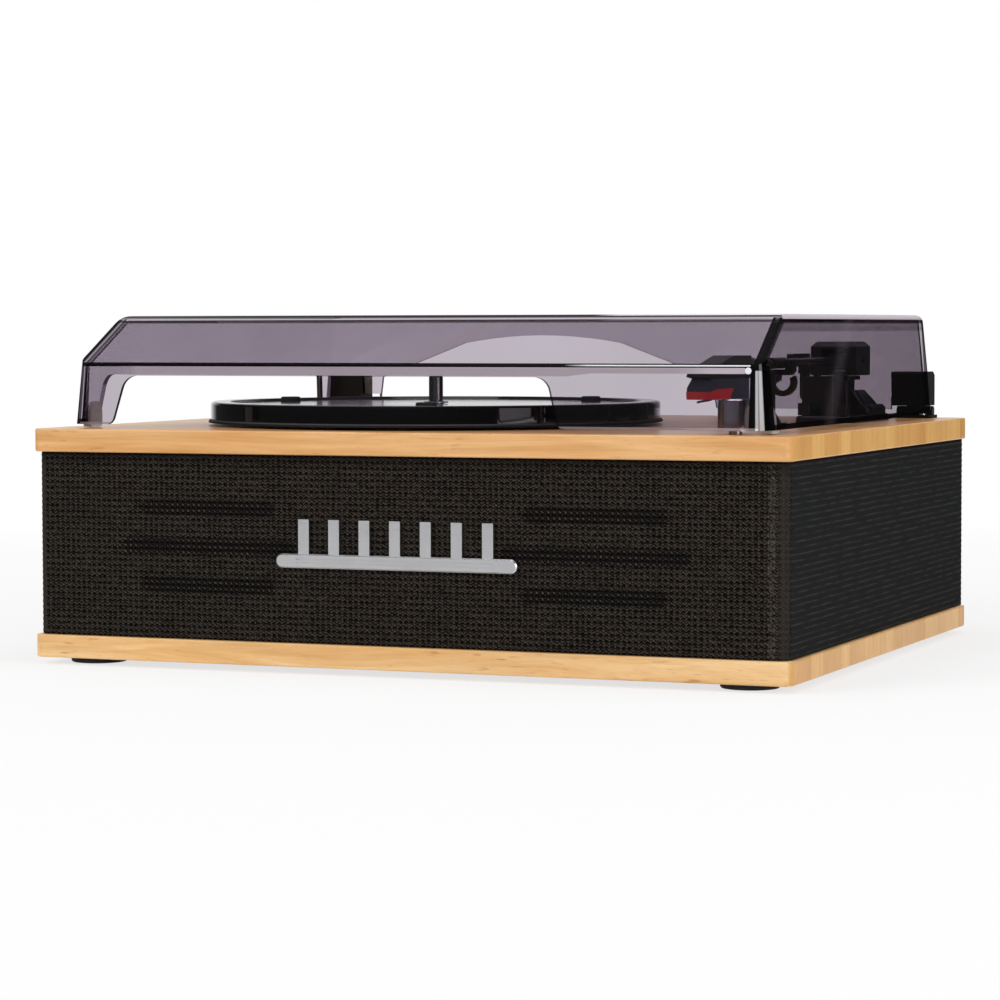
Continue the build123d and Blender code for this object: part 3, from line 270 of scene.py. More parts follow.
def woven(name, yarn, fleck, side_yarn, pitch):
    """Coarse cloth: flecks over zigzag yarn in front, ribs at the sides; painted shade where only air is
    behind.
    """
    g = Finish(name, Specular_IOR_Level=0.06)
    across, up, _ = g.split(g.put("ShaderNodeUVMap", uv_map="weave").outputs[0])
    turn = 2 * math.pi / pitch
    jitter = g.times(g.minus(g.noise(g.point(), 420, 2), 0.5), 1.6)
    u = g.plus(g.times(across, turn), jitter)
    v = g.plus(g.times(up, turn), jitter)
    frayed = g.noise(g.point(), 1100, 2)
    patch = g.noise(g.point(), 75, 3, 0.6)

    zigzag = g.times(g.math("PINGPONG", u, math.pi), g.between(patch, 0.35, 0.65, 0.55, 1.0))
    fine = g.plus(wave(g, g.plus(v, zigzag), 2), g.times(wave(g, g.plus(u, math.pi)), 0.85),
                  g.times(wave(g, v), 0.18))
    coarse = g.plus(wave(g, u), wave(g, v), g.times(wave(g, g.plus(u, v)), 0.8))
    yarn_share = g.between(g.plus(fine, g.times(frayed, 4.6)), 1.9, 3.9)
    fleck_share = g.between(g.plus(coarse, g.times(frayed, 2.0)), 2.2, 3.7)
    fleck_share = g.times(fleck_share, g.between(patch, 0.34, 0.66, 0.25, 0.8))

    # Over the baffle's slots the cloth is darker, a painted shade of the hollow behind it; near the right
    # corner it is stretched, and flecked more
    to_side = g.outward()[0]
    along, _, height = g.split(g.point())
    stretched = g.times(g.inside(along, STRETCHED_FROM, STRETCHED_TO), g.below(to_side, 0.3))
    over_air = g.put("ShaderNodeAttribute", attribute_name="open").outputs["Fac"]
    more_flecks = g.between(g.most(g.times(over_air, 0.25), stretched), 0, 1, 1.0, 1.8)
    body = g.mix(yarn_share, tint(yarn, 0.12), tint(yarn, 3.35))
    # Painted shade of the hollow slots, seen through the weave
    body = g.mix(g.times(over_air, 0.72), body, SLOT_SHADE_BLACK)
    body = g.mix(g.times(fleck_share, more_flecks, clamp=True), body, fleck)
    body = g.mix(g.times(stretched, g.between(frayed, 0.40, 0.60, 0.0, 0.5)), body, fleck)

    # Greyer around the corner, and a painted shadow just under the deck
    body = g.mix(g.ramp(to_side, [(0.15, 0), (0.35, 0.55), (0.8, 0.6), (0.95, 0)]), body, ROUND_GREY)
    body = g.mix(g.between(height, CLOTH_HIGH.z - SHADE_DEPTH, CLOTH_HIGH.z, 0.0, 0.6), body, tint(yarn, 0.2))
    body = g.mix(g.between(to_side, 0.86, 0.98), body, ribbed(g, across, up, turn, frayed, side_yarn))
    g.shade(Base_Color=body, Roughness=g.between(fine, -1, 1, 0.95, 0.8))
    g.bump(g.plus(g.times(coarse, 0.2), g.times(fine, 0.2)), 0.0002, 0.7)
    return g.material


def ribbed(g, across, up, turn, frayed, yarn):
    """The cloth's sides: broken pale lines that run level over dark yarn."""
    breaks = g.noise(g.join(X=g.times(across, 70), Y=g.times(up, 330)), detail=2, roughness=0.6)
    weft = g.plus(g.times(up, turn), g.times(g.noise(g.point(), 60, 1), 1.2))
    line = g.times(g.between(wave(g, weft), 0.35, 1.0), g.between(breaks, 0.36, 0.60, 0.0, 1.0))
    ribs = g.mix(g.between(frayed, 0.35, 0.65), tint(yarn, 0.75), tint(yarn, 1.25))
    return g.mix(g.times(line, 0.75), ribs, tint(yarn, 3.2))


# Plastics, metals, rubber and boards
def fibreboard(name, colour):
    """Raw or painted board: flecks, and a faint tooth."""
    g = Finish(name, Specular_IOR_Level=0.25)
    flecks = g.noise(g.point(), 900, 4, 0.65)
    patches = g.noise(g.point(), 22, 3)
    body = g.mix(g.between(flecks, 0.3, 0.7), tint(colour, 0.8), tint(colour, 1.2))
    body = g.mix(g.between(patches, 0.35, 0.65, 0.0, 0.3), body, tint(colour, 0.7))
    g.shade(Base_Color=body, Roughness=g.between(flecks, 0.3, 0.7, 0.62, 0.82))
    g.bump(flecks, 0.00012, 0.5)
    return g.material


def moulded(name, colour, rough, grain=0.35, spread=0.08, coat=0.0, specular=0.5):
    """Moulded plastic or paint: a fine even grain, with roughness that wanders a little."""
    g = Finish(name, Coat_Weight=coat, Coat_Roughness=0.05, Specular_IOR_Level=specular)
    fine = g.noise(g.point(), 2600, 2, 0.6)
    wander = g.noise(g.point(), 55, 3)
    g.shade(Base_Color=g.mix(wander, tint(colour, 0.86), tint(colour, 1.14)),
            Roughness=g.between(wander, 0.3, 0.7, rough - spread / 2, rough + spread / 2))
    g.bump(fine, 0.00003, grain)
    return g.material


def rubber(name, colour, rough=0.72):
    """Rubber: dull, slightly dusty, with a fine tooth."""
    g = Finish(name, Specular_IOR_Level=0.3)
    dust = g.noise(g.point(), 240, 4, 0.7)
    g.shade(Base_Color=g.mix(g.between(dust, 0.5, 0.8, 0.0, 0.5), colour, tint(colour, 2.2)),
            Roughness=g.between(dust, 0.3, 0.7, rough - 0.06, rough + 0.1))
    g.bump(g.noise(g.point(), 1800, 3), 0.00004, 0.5)
    return g.material


def brushed(name, colour, rough, along=(1, 1, 1), streak=0.12):
    """Metal with fine straight lines; the lines run where along is small."""
    g = Finish(name, Metallic=1.0)
    lines = g.noise(g.scaled(g.point(), tuple(3200 * a for a in along)), detail=3, roughness=0.6)
    stain = g.noise(g.point(), 70, 3)
    g.shade(Base_Color=g.mix(g.between(stain, 0.3, 0.7, 0.0, 0.35), colour, tint(colour, 0.8)),
            Roughness=g.between(lines, 0.3, 0.7, rough - streak / 2, rough + streak / 2))
    g.bump(lines, 0.00002, 0.4)
    return g.material


def turned_metal(name, colour, rough, centre):
    """Metal turned about an upright axis: fine rings on its faces, smooth sides."""
    g = Finish(name, Metallic=1.0)
    lines = g.noise(g.join(X=g.times(g.reach(centre), 5200)), detail=2, roughness=0.6)
    stain = g.noise(g.point(), 160, 3)
    g.shade(Base_Color=g.mix(g.between(stain, 0.3, 0.7, 0.0, 0.4), colour, tint(colour, 0.85)),
            Roughness=g.between(lines, 0.3, 0.7, rough - 0.06, rough + 0.06))
    g.bump(lines, 0.000012, 0.5)
    return g.material


def platter_plastic(name, colour):
    """Gloss black plastic, dull at its foot, its top with hairline rings about the spindle and a painted grey
    reflection.
    """
    g = Finish(name, Specular_IOR_Level=0.35)
    upward = g.split(g.place("Normal"))[2]
    flat = g.between(upward, 0.6, 0.9)
    foot = g.below(g.split(g.point())[2], PLATTER_FOOT_TOP)
    rings = g.noise(g.join(X=g.times(g.reach(SPINDLE), 1500)))
    smears = g.noise(g.point(), 38, 4, 0.6)
    gloss = g.plus(g.between(smears, 0.3, 0.7, 0.03, 0.06), g.times(flat, 0.08))
    # Painted reflection: the upward top is made a smeared grey, the sides stay near black
    body = g.mix(smears, tint(colour, 3.6), tint(colour, 5.2))
    g.shade(Base_Color=g.mix(flat, tint(colour, 0.3), body), Roughness=g.plus(gloss, g.times(foot, 0.55)))
    g.bump(g.times(rings, flat), 0.00001, 0.2)
    return g.material


def board_green(name, colour):
    """A circuit board: solder mask over copper lines."""
    g = Finish(name, Coat_Weight=0.3)
    cells = g.put("ShaderNodeTexBrick", {"Vector": g.scaled(g.point(), (60, 60, 60)), "Mortar Size": 0.06,
                                         "Color1": tint(colour, 1.5), "Color2": tint(colour, 1.2),
                                         "Mortar": tint(colour, 0.7)})
    specks = g.noise(g.point(), 800, 2)
    g.shade(Base_Color=g.mix(g.between(specks, 0.62, 0.66), cells.outputs["Color"], (0.55, 0.5, 0.4, 1)),
            Roughness=g.between(specks, 0.3, 0.7, 0.35, 0.5))
    return g.material


def paper_cone(name, colour):
    """Pressed paper pulp."""
    g = Finish(name, Specular_IOR_Level=0.2)
    pulp = g.noise(g.point(), 420, 5, 0.7, 0.5)
    g.shade(Base_Color=g.mix(pulp, tint(colour, 0.6), tint(colour, 1.5)),
            Roughness=g.between(pulp, 0.3, 0.7, 0.8, 0.95))
    g.bump(pulp, 0.0002, 0.6)
    return g.material


def clear_rubber(name, colour):
    """Soft translucent bumper."""
    g = Finish(name, Subsurface_Weight=0.4, Subsurface_Radius=(0.002, 0.002, 0.002), Specular_IOR_Level=0.5)
    haze = g.noise(g.point(), 500, 3)
    g.shade(Base_Color=g.mix(haze, tint(colour, 0.9), tint(colour, 1.2)),
            Roughness=g.between(haze, 0.3, 0.7, 0.22, 0.36))
    g.bump(haze, 0.00003, 0.3)
    return g.material


# The smoked lid: the forms of its shell that its material follows, as places in the frame
NOTCH_TOP, ARCH_TOP, CREASE = 138.4 * MM, 158.0 * MM, 143.8 * MM
DRAFT, SLOPE, SLOPE_SET_BACK = math.radians(5.5), math.radians(30), 2.8 * MM
NOTCH_END_FROM, NOTCH_END_TO = 78.0 * MM, 90.0 * MM
FAR_END_LOW_Y, FAR_END_TOP_Y = 132.0 * MM, 126.0 * MM
OUTER_X = 100.0 * MM

# How far in from the lid's box the walls and their corners reach
FRONT_FACE, FRONT_WALL, BACK_WALL, SIDE_WALL = 6.0 * MM, 8.0 * MM, 12.0 * MM, 10.0 * MM
CORNER_ACROSS, CORNER_ALONG = 8.0 * MM, 9.0 * MM
UPRIGHT, ROOF, SQUARE_ON, SLANTED = 0.35, 0.86, 0.9, 0.4

# Painted dark bands and painted shade: the width of a notch's edge, the crease, the hem, the post at the
# front right, the rear edge
CUT_OVER, END_OVER, END_BEFORE, END_BORDER = 1.4 * MM, 1.0 * MM, -1.0 * MM, 2.8 * MM
CREASE_BELOW, CREASE_ABOVE, RIM_FROM, RIM_TO = 1.0 * MM, 0.9 * MM, 1.8 * MM, 2.4 * MM
HEM_IN, HEM_TOP, REAR_EDGE = 6.0 * MM, 117.4 * MM, 6.5 * MM
POST_X, POST_BACK, LEFT_CORNER_TOP = 166.5 * MM, 12.0 * MM, 139.5 * MM
ROUNDING_FOOT = 158.0 * MM

# Painted reflections and highlights: the strip over the notch, the low line, the roof's band, the crease's
# line, a spot, a streak
STRIP_TOP, STRIP_FOOT_LEFT, STRIP_FOOT_RIGHT = CREASE - 0.9 * MM, NOTCH_TOP + 0.4 * MM, NOTCH_TOP + 1.8 * MM
STRIP_FADE_FROM, STRIP_FADE_TO, STRIP_END = -152.0 * MM, -140.0 * MM, 164.0 * MM
LOW_LINE_TOP, ROOF_BAND_FOOT = 116.1 * MM, 164.7 * MM
CREASE_LINE_HALF, BRIGHT_CORNER_TOP = 0.3 * MM, 141.6 * MM
SPOT_X, SPOT_Z, SPOT_RADIUS = 165.5 * MM, 141.6 * MM, 1.5 * MM
STREAK_Y, STREAK_Z, STREAK_LEAN = -4.5 * MM, 160.1 * MM, 0.98
STREAK_FULL, STREAK_GONE = 4.0 * MM, 12.0 * MM
TONE_FROM, TONE_TO, PALER_FROM, PALER_TO = -30.0 * MM, 90.0 * MM, 132.0 * MM, 148.0 * MM

# Its colours
LID_TINT, LID_DEEP = (0.743, 0.710, 0.750, 1), (0.07, 0.055, 0.07, 1)
# Colours of the painted dark bands of shade and bent light: dark, then black
LID_PAINTED_DARK, LID_PAINTED_BLACK = (0.10, 0.08, 0.10, 1), (0.012, 0.007, 0.012, 1)
# Painted reflection tones at left and right, and the painted highlight grey
PAINTED_REFLECTION_LEFT, PAINTED_REFLECTION_RIGHT, PAINTED_HIGHLIGHT_GREY = (0.34, 0.285, 0.335, 1), (0.37, 0.32, 0.36, 1), (0.80, 0.80, 0.85, 1)


class LidPoint:
    """What the masks of the lid's material ask about a point of its shell."""

    def __init__(self, g):
        self.x, self.y, self.z = g.split(g.point())
        self.nx, self.ny, self.nz = g.outward()
        self.facing = g.put("ShaderNodeLayerWeight", {"Blend": 0.5}).outputs["Facing"]
        self.off_mid = g.size_of(self.x)
        self.right_share = g.between(self.x, NOTCH_END_FROM, NOTCH_END_TO)
        self.at_left = g.below(self.x, 0.0)
        self.far_right = g.above(self.x, OUTER_X)
        self.in_front_half = g.below(self.y, 0.0)
        self.on_front = g.below(self.y, LID_LOW.y + FRONT_FACE)
        self.on_side = g.above(self.nx, SQUARE_ON)
        self.upright = g.below(self.nz, UPRIGHT)
        drawn_in = g.times(g.minus(self.z, LID_LOW.z), math.tan(DRAFT))
        self.from_side = g.minus(g.minus(LID_HIGH.x, self.off_mid), drawn_in)
        self.from_rear = g.minus(g.minus(LID_HIGH.y, self.y), drawn_in)
        slope_z = g.plus(CREASE, g.times(g.minus(self.y, LID_LOW.y + SLOPE_SET_BACK), math.tan(SLOPE)))
        self.under_slope = g.times(g.minus(slope_z, self.z), math.cos(SLOPE))


def cut_edges(g, at):
    """The cut edges of the front notch, the rear arch and the left notch."""
    across = g.times(g.below(at.off_mid, LID_HIGH.x - CORNER_ACROSS), g.below(at.ny, SLANTED))
    along = g.times(g.inside(at.y, LID_LOW.y + CORNER_ALONG, LID_HIGH.y - CORNER_ALONG),
                    g.below(at.nx, SLANTED))
    under_notch = g.below(at.z, NOTCH_TOP + CUT_OVER)
    front = g.times(g.below(at.y, LID_LOW.y + FRONT_WALL), across, under_notch)
    back = g.times(g.above(at.y, LID_HIGH.y - BACK_WALL), across, g.below(at.z, ARCH_TOP))
    side = g.times(g.above(at.off_mid, LID_HIGH.x - SIDE_WALL), along, under_notch)
    return front, back, side


def rounded_corners(g, at):
    """The upright corners that the light bends in, as stripes by the way they face."""
    shown = g.most(at.in_front_half, g.times(g.below(at.z, LEFT_CORNER_TOP), at.at_left))
    stripes = g.ramp(at.nx, [(0.03, 0), (0.08, 1), (0.26, 1), (0.28, 0.4), (0.36, 0.4), (0.38, 1), (0.97, 1),
                             (0.985, 0)])
    return g.times(at.upright, shown, stripes)


def folds_and_rims(g, at):
    """The rim of the slope, the fold between slope and roof, and the rim of the side walls' tops."""
    slope_rim = g.times(g.inside(at.nz, 0.80, 0.89), g.ramp(g.times(at.from_side, 100), [
        (0.17, 1), (0.19, 0.5), (0.34, 0.5), (0.36, 1), (0.46, 1), (0.49, 0)]))
    side_rim = g.times(at.on_side, at.in_front_half, g.between(at.under_slope, RIM_FROM, RIM_TO, 1.0, 0.0))
    bend = g.ramp(at.ny, [(0.03, 0), (0.08, 0.9), (0.40, 0.9), (0.46, 0)])
    fold = g.times(g.above(at.nz, ROOF), g.most(bend, g.between(at.facing, 0.85, 0.97, 0.0, 0.7)))
    roof_rim = g.times(at.far_right, g.above(at.nx, 0.2), g.ramp(g.times(g.minus(at.z, ROUNDING_FOOT), 100), [
        (0.05, 0), (0.16, 0.3), (0.44, 0.2), (0.52, 0.85), (0.62, 0.85), (0.68, 0)]))
    return slope_rim, side_rim, fold, roof_rim


def notch_ends(g, at, front_cut):
    """The notch ends that show at the left: the front one's edge, and the far side one's edge and border."""
    front_end = g.times(front_cut, g.below(at.x, -OUTER_X), g.above(at.nx, 0.5))
    past_end = g.minus(at.y, g.between(at.z, LID_LOW.z, NOTCH_TOP, FAR_END_LOW_Y, FAR_END_TOP_Y))
    far_end = g.times(at.at_left, g.inside(past_end, END_BEFORE, END_BORDER),
                      g.below(at.z, NOTCH_TOP + END_OVER), at.upright)
    return g.most(far_end, g.times(front_end, 0.85))


def painted_dark_bands(g, at):
    """How far a point is painted dark, and how far painted black: painted shade and dark bands of bent light
    at cut edges, folds, rims, hem and corners.
    """
    # Painted shade and dark bands of bent light at the cut edges, corners, folds, rims, crease and hem
    front_cut, back_cut, side_cut = cut_edges(g, at)
    corner = rounded_corners(g, at)
    slope_rim, side_rim, fold, roof_rim = folds_and_rims(g, at)
    crease = g.times(at.on_front, g.inside(at.z, CREASE - CREASE_BELOW, CREASE + CREASE_ABOVE))
    hem = g.times(g.above(at.off_mid, LID_HIGH.x - HEM_IN), g.below(at.z, HEM_TOP))
    dark = g.plus(front_cut, back_cut, side_cut, corner, fold, crease, hem, slope_rim, side_rim, roof_rim,
                  clamp=True)

    post = g.times(g.below(at.y, LID_LOW.y + POST_BACK), g.above(at.x, POST_X), at.upright,
                   g.below(at.z, CREASE))
    rear_edge = g.times(at.far_right, g.below(at.from_rear, REAR_EDGE), g.above(at.nx, 0.5), at.upright)
    black = g.plus(crease, g.most(post, g.times(rear_edge, 0.8)), g.times(slope_rim, at.right_share),
                   clamp=True)
    right_corner = g.times(corner, at.right_share, at.in_front_half)
    return dark, g.most(black, right_corner, notch_ends(g, at, front_cut))


def painted_reflections(g, at):
    """The painted reflection over the front notch and its like, and the small painted highlight lines at the
    right.
    """
    # Painted reflection: the strip, low line, roof band and streak; painted highlights: the spot, the crease
    # and ridge lines, the corner's stripes
    on_face = g.times(at.on_front, g.above(at.ny, SQUARE_ON))
    strip_foot = g.between(at.right_share, 0, 1, STRIP_FOOT_LEFT, STRIP_FOOT_RIGHT)
    strip = g.times(on_face, g.inside(at.z, strip_foot, STRIP_TOP),
                    g.between(at.x, STRIP_FADE_FROM, STRIP_FADE_TO), g.below(at.x, STRIP_END))
    low_line = g.times(on_face, g.below(at.z, LOW_LINE_TOP))
    roof_band = g.times(at.far_right, g.above(at.nx, 0.2), g.above(at.z, ROOF_BAND_FOOT))
    streak_y = g.plus(g.times(g.minus(at.z, STREAK_Z), STREAK_LEAN), STREAK_Y)
    off_streak = g.size_of(g.minus(at.y, streak_y))
    streak = g.times(at.on_side, at.right_share, g.between(off_streak, STREAK_FULL, STREAK_GONE, 1.0, 0.0))
    haze = g.plus(g.times(strip, g.between(at.right_share, 0, 1, 0.85, 0.8)), g.times(low_line, 0.4),
                  g.times(roof_band, 0.85), g.times(streak, 0.035))

    spot_x, spot_z = g.minus(at.x, SPOT_X), g.minus(at.z, SPOT_Z)
    spot_reach = g.plus(g.times(spot_x, spot_x), g.times(spot_z, spot_z))
    spot = g.times(at.on_front, at.upright, g.below(spot_reach, SPOT_RADIUS ** 2))
    crease_line = g.times(at.on_front, at.right_share, g.below(at.x, POST_X),
                          g.inside(at.z, CREASE - CREASE_LINE_HALF, CREASE + CREASE_LINE_HALF))
    ridge_line = g.times(at.right_share, g.inside(at.ny, 0.12, 0.30), g.above(at.nz, ROOF))
    stripes = g.ramp(at.nx, [(0.26, 0), (0.32, 1), (0.44, 0.9), (0.48, 0.3), (0.54, 0.9), (0.70, 0.8),
                             (0.76, 0)])
    corner = g.times(at.upright, at.in_front_half, g.above(at.x, 0.0), g.below(at.z, BRIGHT_CORNER_TOP),
                     stripes)
    painted_highlights = g.plus(g.times(crease_line, 0.95), g.times(ridge_line, 0.95), g.times(corner, 0.6), spot,
                   clamp=True)
    return haze, painted_highlights


def smoked_plastic(name):
    """Smoked lid plastic: clear and tinted, with painted dark bands at its cut edges and folds, a painted
    reflection over the front notch and painted highlights at the right.
    """
    g = Finish(name, Roughness=0.25, Specular_IOR_Level=0.3)
    at = LidPoint(g)
    dark, black = painted_dark_bands(g, at)
    haze, painted_highlights = painted_reflections(g, at)
    wander = g.noise(g.point(), 14, 2)
    smears = g.noise(g.point(), 30, 4, 0.6)

    deep = g.between(at.facing, 0.50, 1.0)
    body = g.mix(g.times(deep, deep), LID_TINT, LID_DEEP)
    body = g.mix(g.between(wander, 0.3, 0.7, 0.0, 0.04), body, LID_DEEP)
    # Painted dark bands: shade and bent light at the edges, folds, hem and corners
    body = g.mix(dark, body, LID_PAINTED_DARK)
    body = g.mix(black, body, LID_PAINTED_BLACK)
    clear = g.put("ShaderNodeBsdfTransparent", {"Color": body})
    gloss = g.put("ShaderNodeBsdfGlossy", {"Color": (1, 1, 1, 1),
                                           "Roughness": g.between(smears, 0.3, 0.7, 0.015, 0.05)})
    gloss_share = g.plus(g.times(g.math("POWER", at.facing, 5.0), 0.05), 0.035)
    both = g.put("ShaderNodeMixShader", {0: gloss_share, 1: clear.outputs[0], 2: gloss.outputs[0]})

    # The painted reflection's lilac tone, shifting along x and paler at the far right
    toned_by = g.plus(at.x, g.times(wander, 0.01))
    tone = g.mix(g.between(toned_by, TONE_FROM, TONE_TO), PAINTED_REFLECTION_LEFT, PAINTED_REFLECTION_RIGHT)
    tone = g.mix(g.between(at.x, PALER_FROM, PALER_TO), tone, tint(PAINTED_REFLECTION_RIGHT, 1.5))
    # Painted highlights in pale grey and the painted reflection laid over the clear plastic where their masks
    # fall
    g.shade(Base_Color=g.mix(g.above(painted_highlights, 0.01), tone, PAINTED_HIGHLIGHT_GREY))
    g.end_in(g.put("ShaderNodeMixShader", {0: g.plus(haze, painted_highlights, clamp=True), 1: both.outputs[0],
                                           2: g.shader.outputs[0]}))
    return g.material


def cooler(colour):
    return (colour[0] * 1.15, colour[1] * 1.15, colour[2] * 1.55)


STYLUS_RED = (0.9, 0.055, 0.065)
FINISHES = {
    "panel_wood": lambda c: fibreboard("panel board", c),
    "black_panel": lambda c: fibreboard("black board", c),
    "badge_metal": lambda c: brushed("badge metal", c, 0.36, (0.05, 1, 1)),
    "foot_rubber": lambda c: rubber("foot rubber", c),
    "steel_screw": lambda c: brushed("screw steel", c, 0.32),
    "speaker_frame": lambda c: moulded("speaker frame paint", c, 0.42),
    "speaker_cone": lambda c: paper_cone("cone paper", c),
    "magnet": lambda c: moulded("magnet ceramic", c, 0.6, 0.8),
    "circuit_board": lambda c: board_green("circuit board", c),
    "capacitor": lambda c: moulded("capacitor sleeve", c, 0.3),
    "heat_sink": lambda c: brushed("heat sink", c, 0.45, (1, 1, 0.04)),
    "spacer_brass": lambda c: brushed("spacer brass", c, 0.3, (1, 1, 0.3)),
    "socket_black": lambda c: moulded("socket plastic", c, 0.4),
    "socket_metal": lambda c: brushed("socket plating", c, 0.16),
    "control_can": lambda c: brushed("control can", c, 0.4),
    "knob_metal": lambda c: turned_metal("knob metal", tint(c, 1.3), 0.25, KNOB),
    "spindle_steel": lambda c: turned_metal("spindle steel", tint(c, 0.35), 0.10, SPINDLE),
    "bearing_brass": lambda c: turned_metal("bearing brass", c, 0.28, SPINDLE),
    "washer_plastic": lambda c: moulded("washer plastic", c, 0.4),
    "platter_black": lambda c: platter_plastic("platter plastic", c),
    "pad_rubber": lambda c: rubber("pad rubber", c, 0.6),
    "motor_steel": lambda c: brushed("motor steel", c, 0.38),
    "pulley_brass": lambda c: brushed("pulley brass", c, 0.26, (1, 1, 0.3)),
    "belt_rubber": lambda c: rubber("belt rubber", c),
    "arm_black": lambda c: moulded("arm plastic", c, 0.34, 0.5, 0.1, 0.1),
    "arm_tube": lambda c: moulded("arm tube paint", c, 0.26, 0.15),
    "cartridge_grey": lambda c: moulded("cartridge plastic", cooler(c), 0.3, 0.3, 0.08, 0.2),
    "stylus_red": lambda c: moulded("red stylus plastic", STYLUS_RED, 0.28, 0.15, 0.06, 0.4),
    "cantilever": lambda c: brushed("cantilever", c, 0.3),
    "smoked_lid": lambda c: smoked_plastic("smoked lid plastic"),
    "bumper_rubber": lambda c: clear_rubber("bumper rubber", c),
    "hinge_black": lambda c: moulded("hinge plastic", tint(c, 0.5), 0.36, 0.2, 0.06, 0.0, 0.12),
    "hinge_pin": lambda c: brushed("hinge pin", c, 0.24, (0.05, 1, 1)),
}
finished = {}


def finish_for(slot_name):
    if slot_name not in finished:
        finished[slot_name] = FINISHES[slot_name](colours[slot_name])
    return finished[slot_name]


DECK_PALE, DECK_WARM, DARK_WOOD = (0.82, 0.49, 0.225, 1), (0.70, 0.34, 0.105, 1), (0.42, 0.17, 0.045, 1)
BASE_PALE, BASE_WARM = (0.93, 0.645, 0.34, 1), (0.865, 0.49, 0.176, 1)
boards = {
    "deck_board": lacquered_wood("deck wood", DECK_PALE, DECK_WARM, DARK_WOOD),
    "base_board": lacquered_wood("base wood", BASE_PALE, BASE_WARM, DARK_WOOD),
}
for node_name, node in nodes.items():
    for slot in node.material_slots:
        if node_name in boards:
            slot.material = boards[node_name]
        elif slot.material.name != "grille_cloth":
            slot.material = finish_for(slot.material.name)


# The cloth: one wrapped strip of coarse weave, drawn tight over the baffle and the side panels
WEAVE = 2.8 * MM
STEP = WEAVE / 2
RELIEF = 0.11 * MM
BACK_OFF = 0.28 * MM
TURNED_IN = 0.7 * MM
END_ROOM = 0.1 * MM
SINK = 0.4 * MM
SLOT_HALF_H = 3.75 * MM
SLOT_ROWS = {0: 45.5 * MM, 1: 35.0 * MM}
SLOT_RISE = 18.2 * MM
SPEAKER_X = 97.0 * MM
SOFT_EDGE = 1.6 * MM
YARN, FLECK, SIDE_YARN = (0.0135, 0.0108, 0.0086, 1), (0.075, 0.066, 0.057, 1), (0.0135, 0.0140, 0.0140, 1)
FRONT_RADIUS, REAR_RADIUS = 6.0 * MM - BACK_OFF, 1.6 * MM
CORNER_STEPS = 14
SEAM_X = 175.3 * MM


def wrap_outline():
    """The wrap seen from above, from seam to seam, as (x, y, outward x, outward y)."""
    half_w, half_d = CLOTH_HIGH.x - BACK_OFF, CLOTH_HIGH.y - BACK_OFF
    outline = [(-SEAM_X, half_d, 0.0, 1.0)]
    for side, end, start in ((-1, 1, 90), (-1, -1, 180), (1, -1, 270), (1, 1, 0)):
        radius = FRONT_RADIUS if end < 0 else REAR_RADIUS
        for i in range(CORNER_STEPS + 1):
            angle = math.radians(start + 90 * i / CORNER_STEPS)
            ux, uy = math.cos(angle), math.sin(angle)
            x = side * (half_w - radius) + radius * ux
            y = end * (half_d - radius) + radius * uy
            outline.append((x, y, ux, uy))
    outline.append((SEAM_X, half_d, 0.0, 1.0))
    return outline


def wrap_path():
    """Points a step apart along the wrap, as (x, y, outward x, outward y), and the wrap's length."""
    outline = wrap_outline()
    lengths = [0.0]
    for a, b in zip(outline, outline[1:]):
        lengths.append(lengths[-1] + math.hypot(b[0] - a[0], b[1] - a[1]))
    count = round(lengths[-1] / STEP)
    points, k = [], 0
    for i in range(count + 1):
        s = lengths[-1] * i / count
        while k < len(lengths) - 2 and lengths[k + 1] < s:
            k += 1
        t = (s - lengths[k]) / max(lengths[k + 1] - lengths[k], 1e-9)
        a, b = outline[k], outline[k + 1]
        x, y, ux, uy = (a[n] + (b[n] - a[n]) * t for n in range(4))
        size = math.hypot(ux, uy)
        points.append((x, y, ux / size, uy / size))
    return points, lengths[-1]


def over_slot(x, z):
    """1 over a slot of the baffle, falling to 0 past its edge."""
    most = 0.0
    middle = (CLOTH_LOW.z + CLOTH_HIGH.z) / 2
    for side in (-1, 1):
        for row in (-1, 0, 1):
            run = SLOT_ROWS[abs(row)] - SLOT_HALF_H
            dx = max(abs(x - side * SPEAKER_X) - run, 0.0)
            dz = abs(z - middle - row * SLOT_RISE)
            most = max(most, (SLOT_HALF_H - math.hypot(dx, dz)) / SOFT_EDGE + 0.5)
    return min(most, 1.0)


def add_piece(name, vertices, faces, finish):
    """A new piece of the scene, from its mesh and its material."""
    mesh = bpy.data.meshes.new(name)
    mesh.from_pydata(vertices, [], faces)
    piece = bpy.data.objects.new(name, mesh)
    bpy.context.scene.collection.objects.link(piece)
    mesh.materials.append(finish)
    return piece


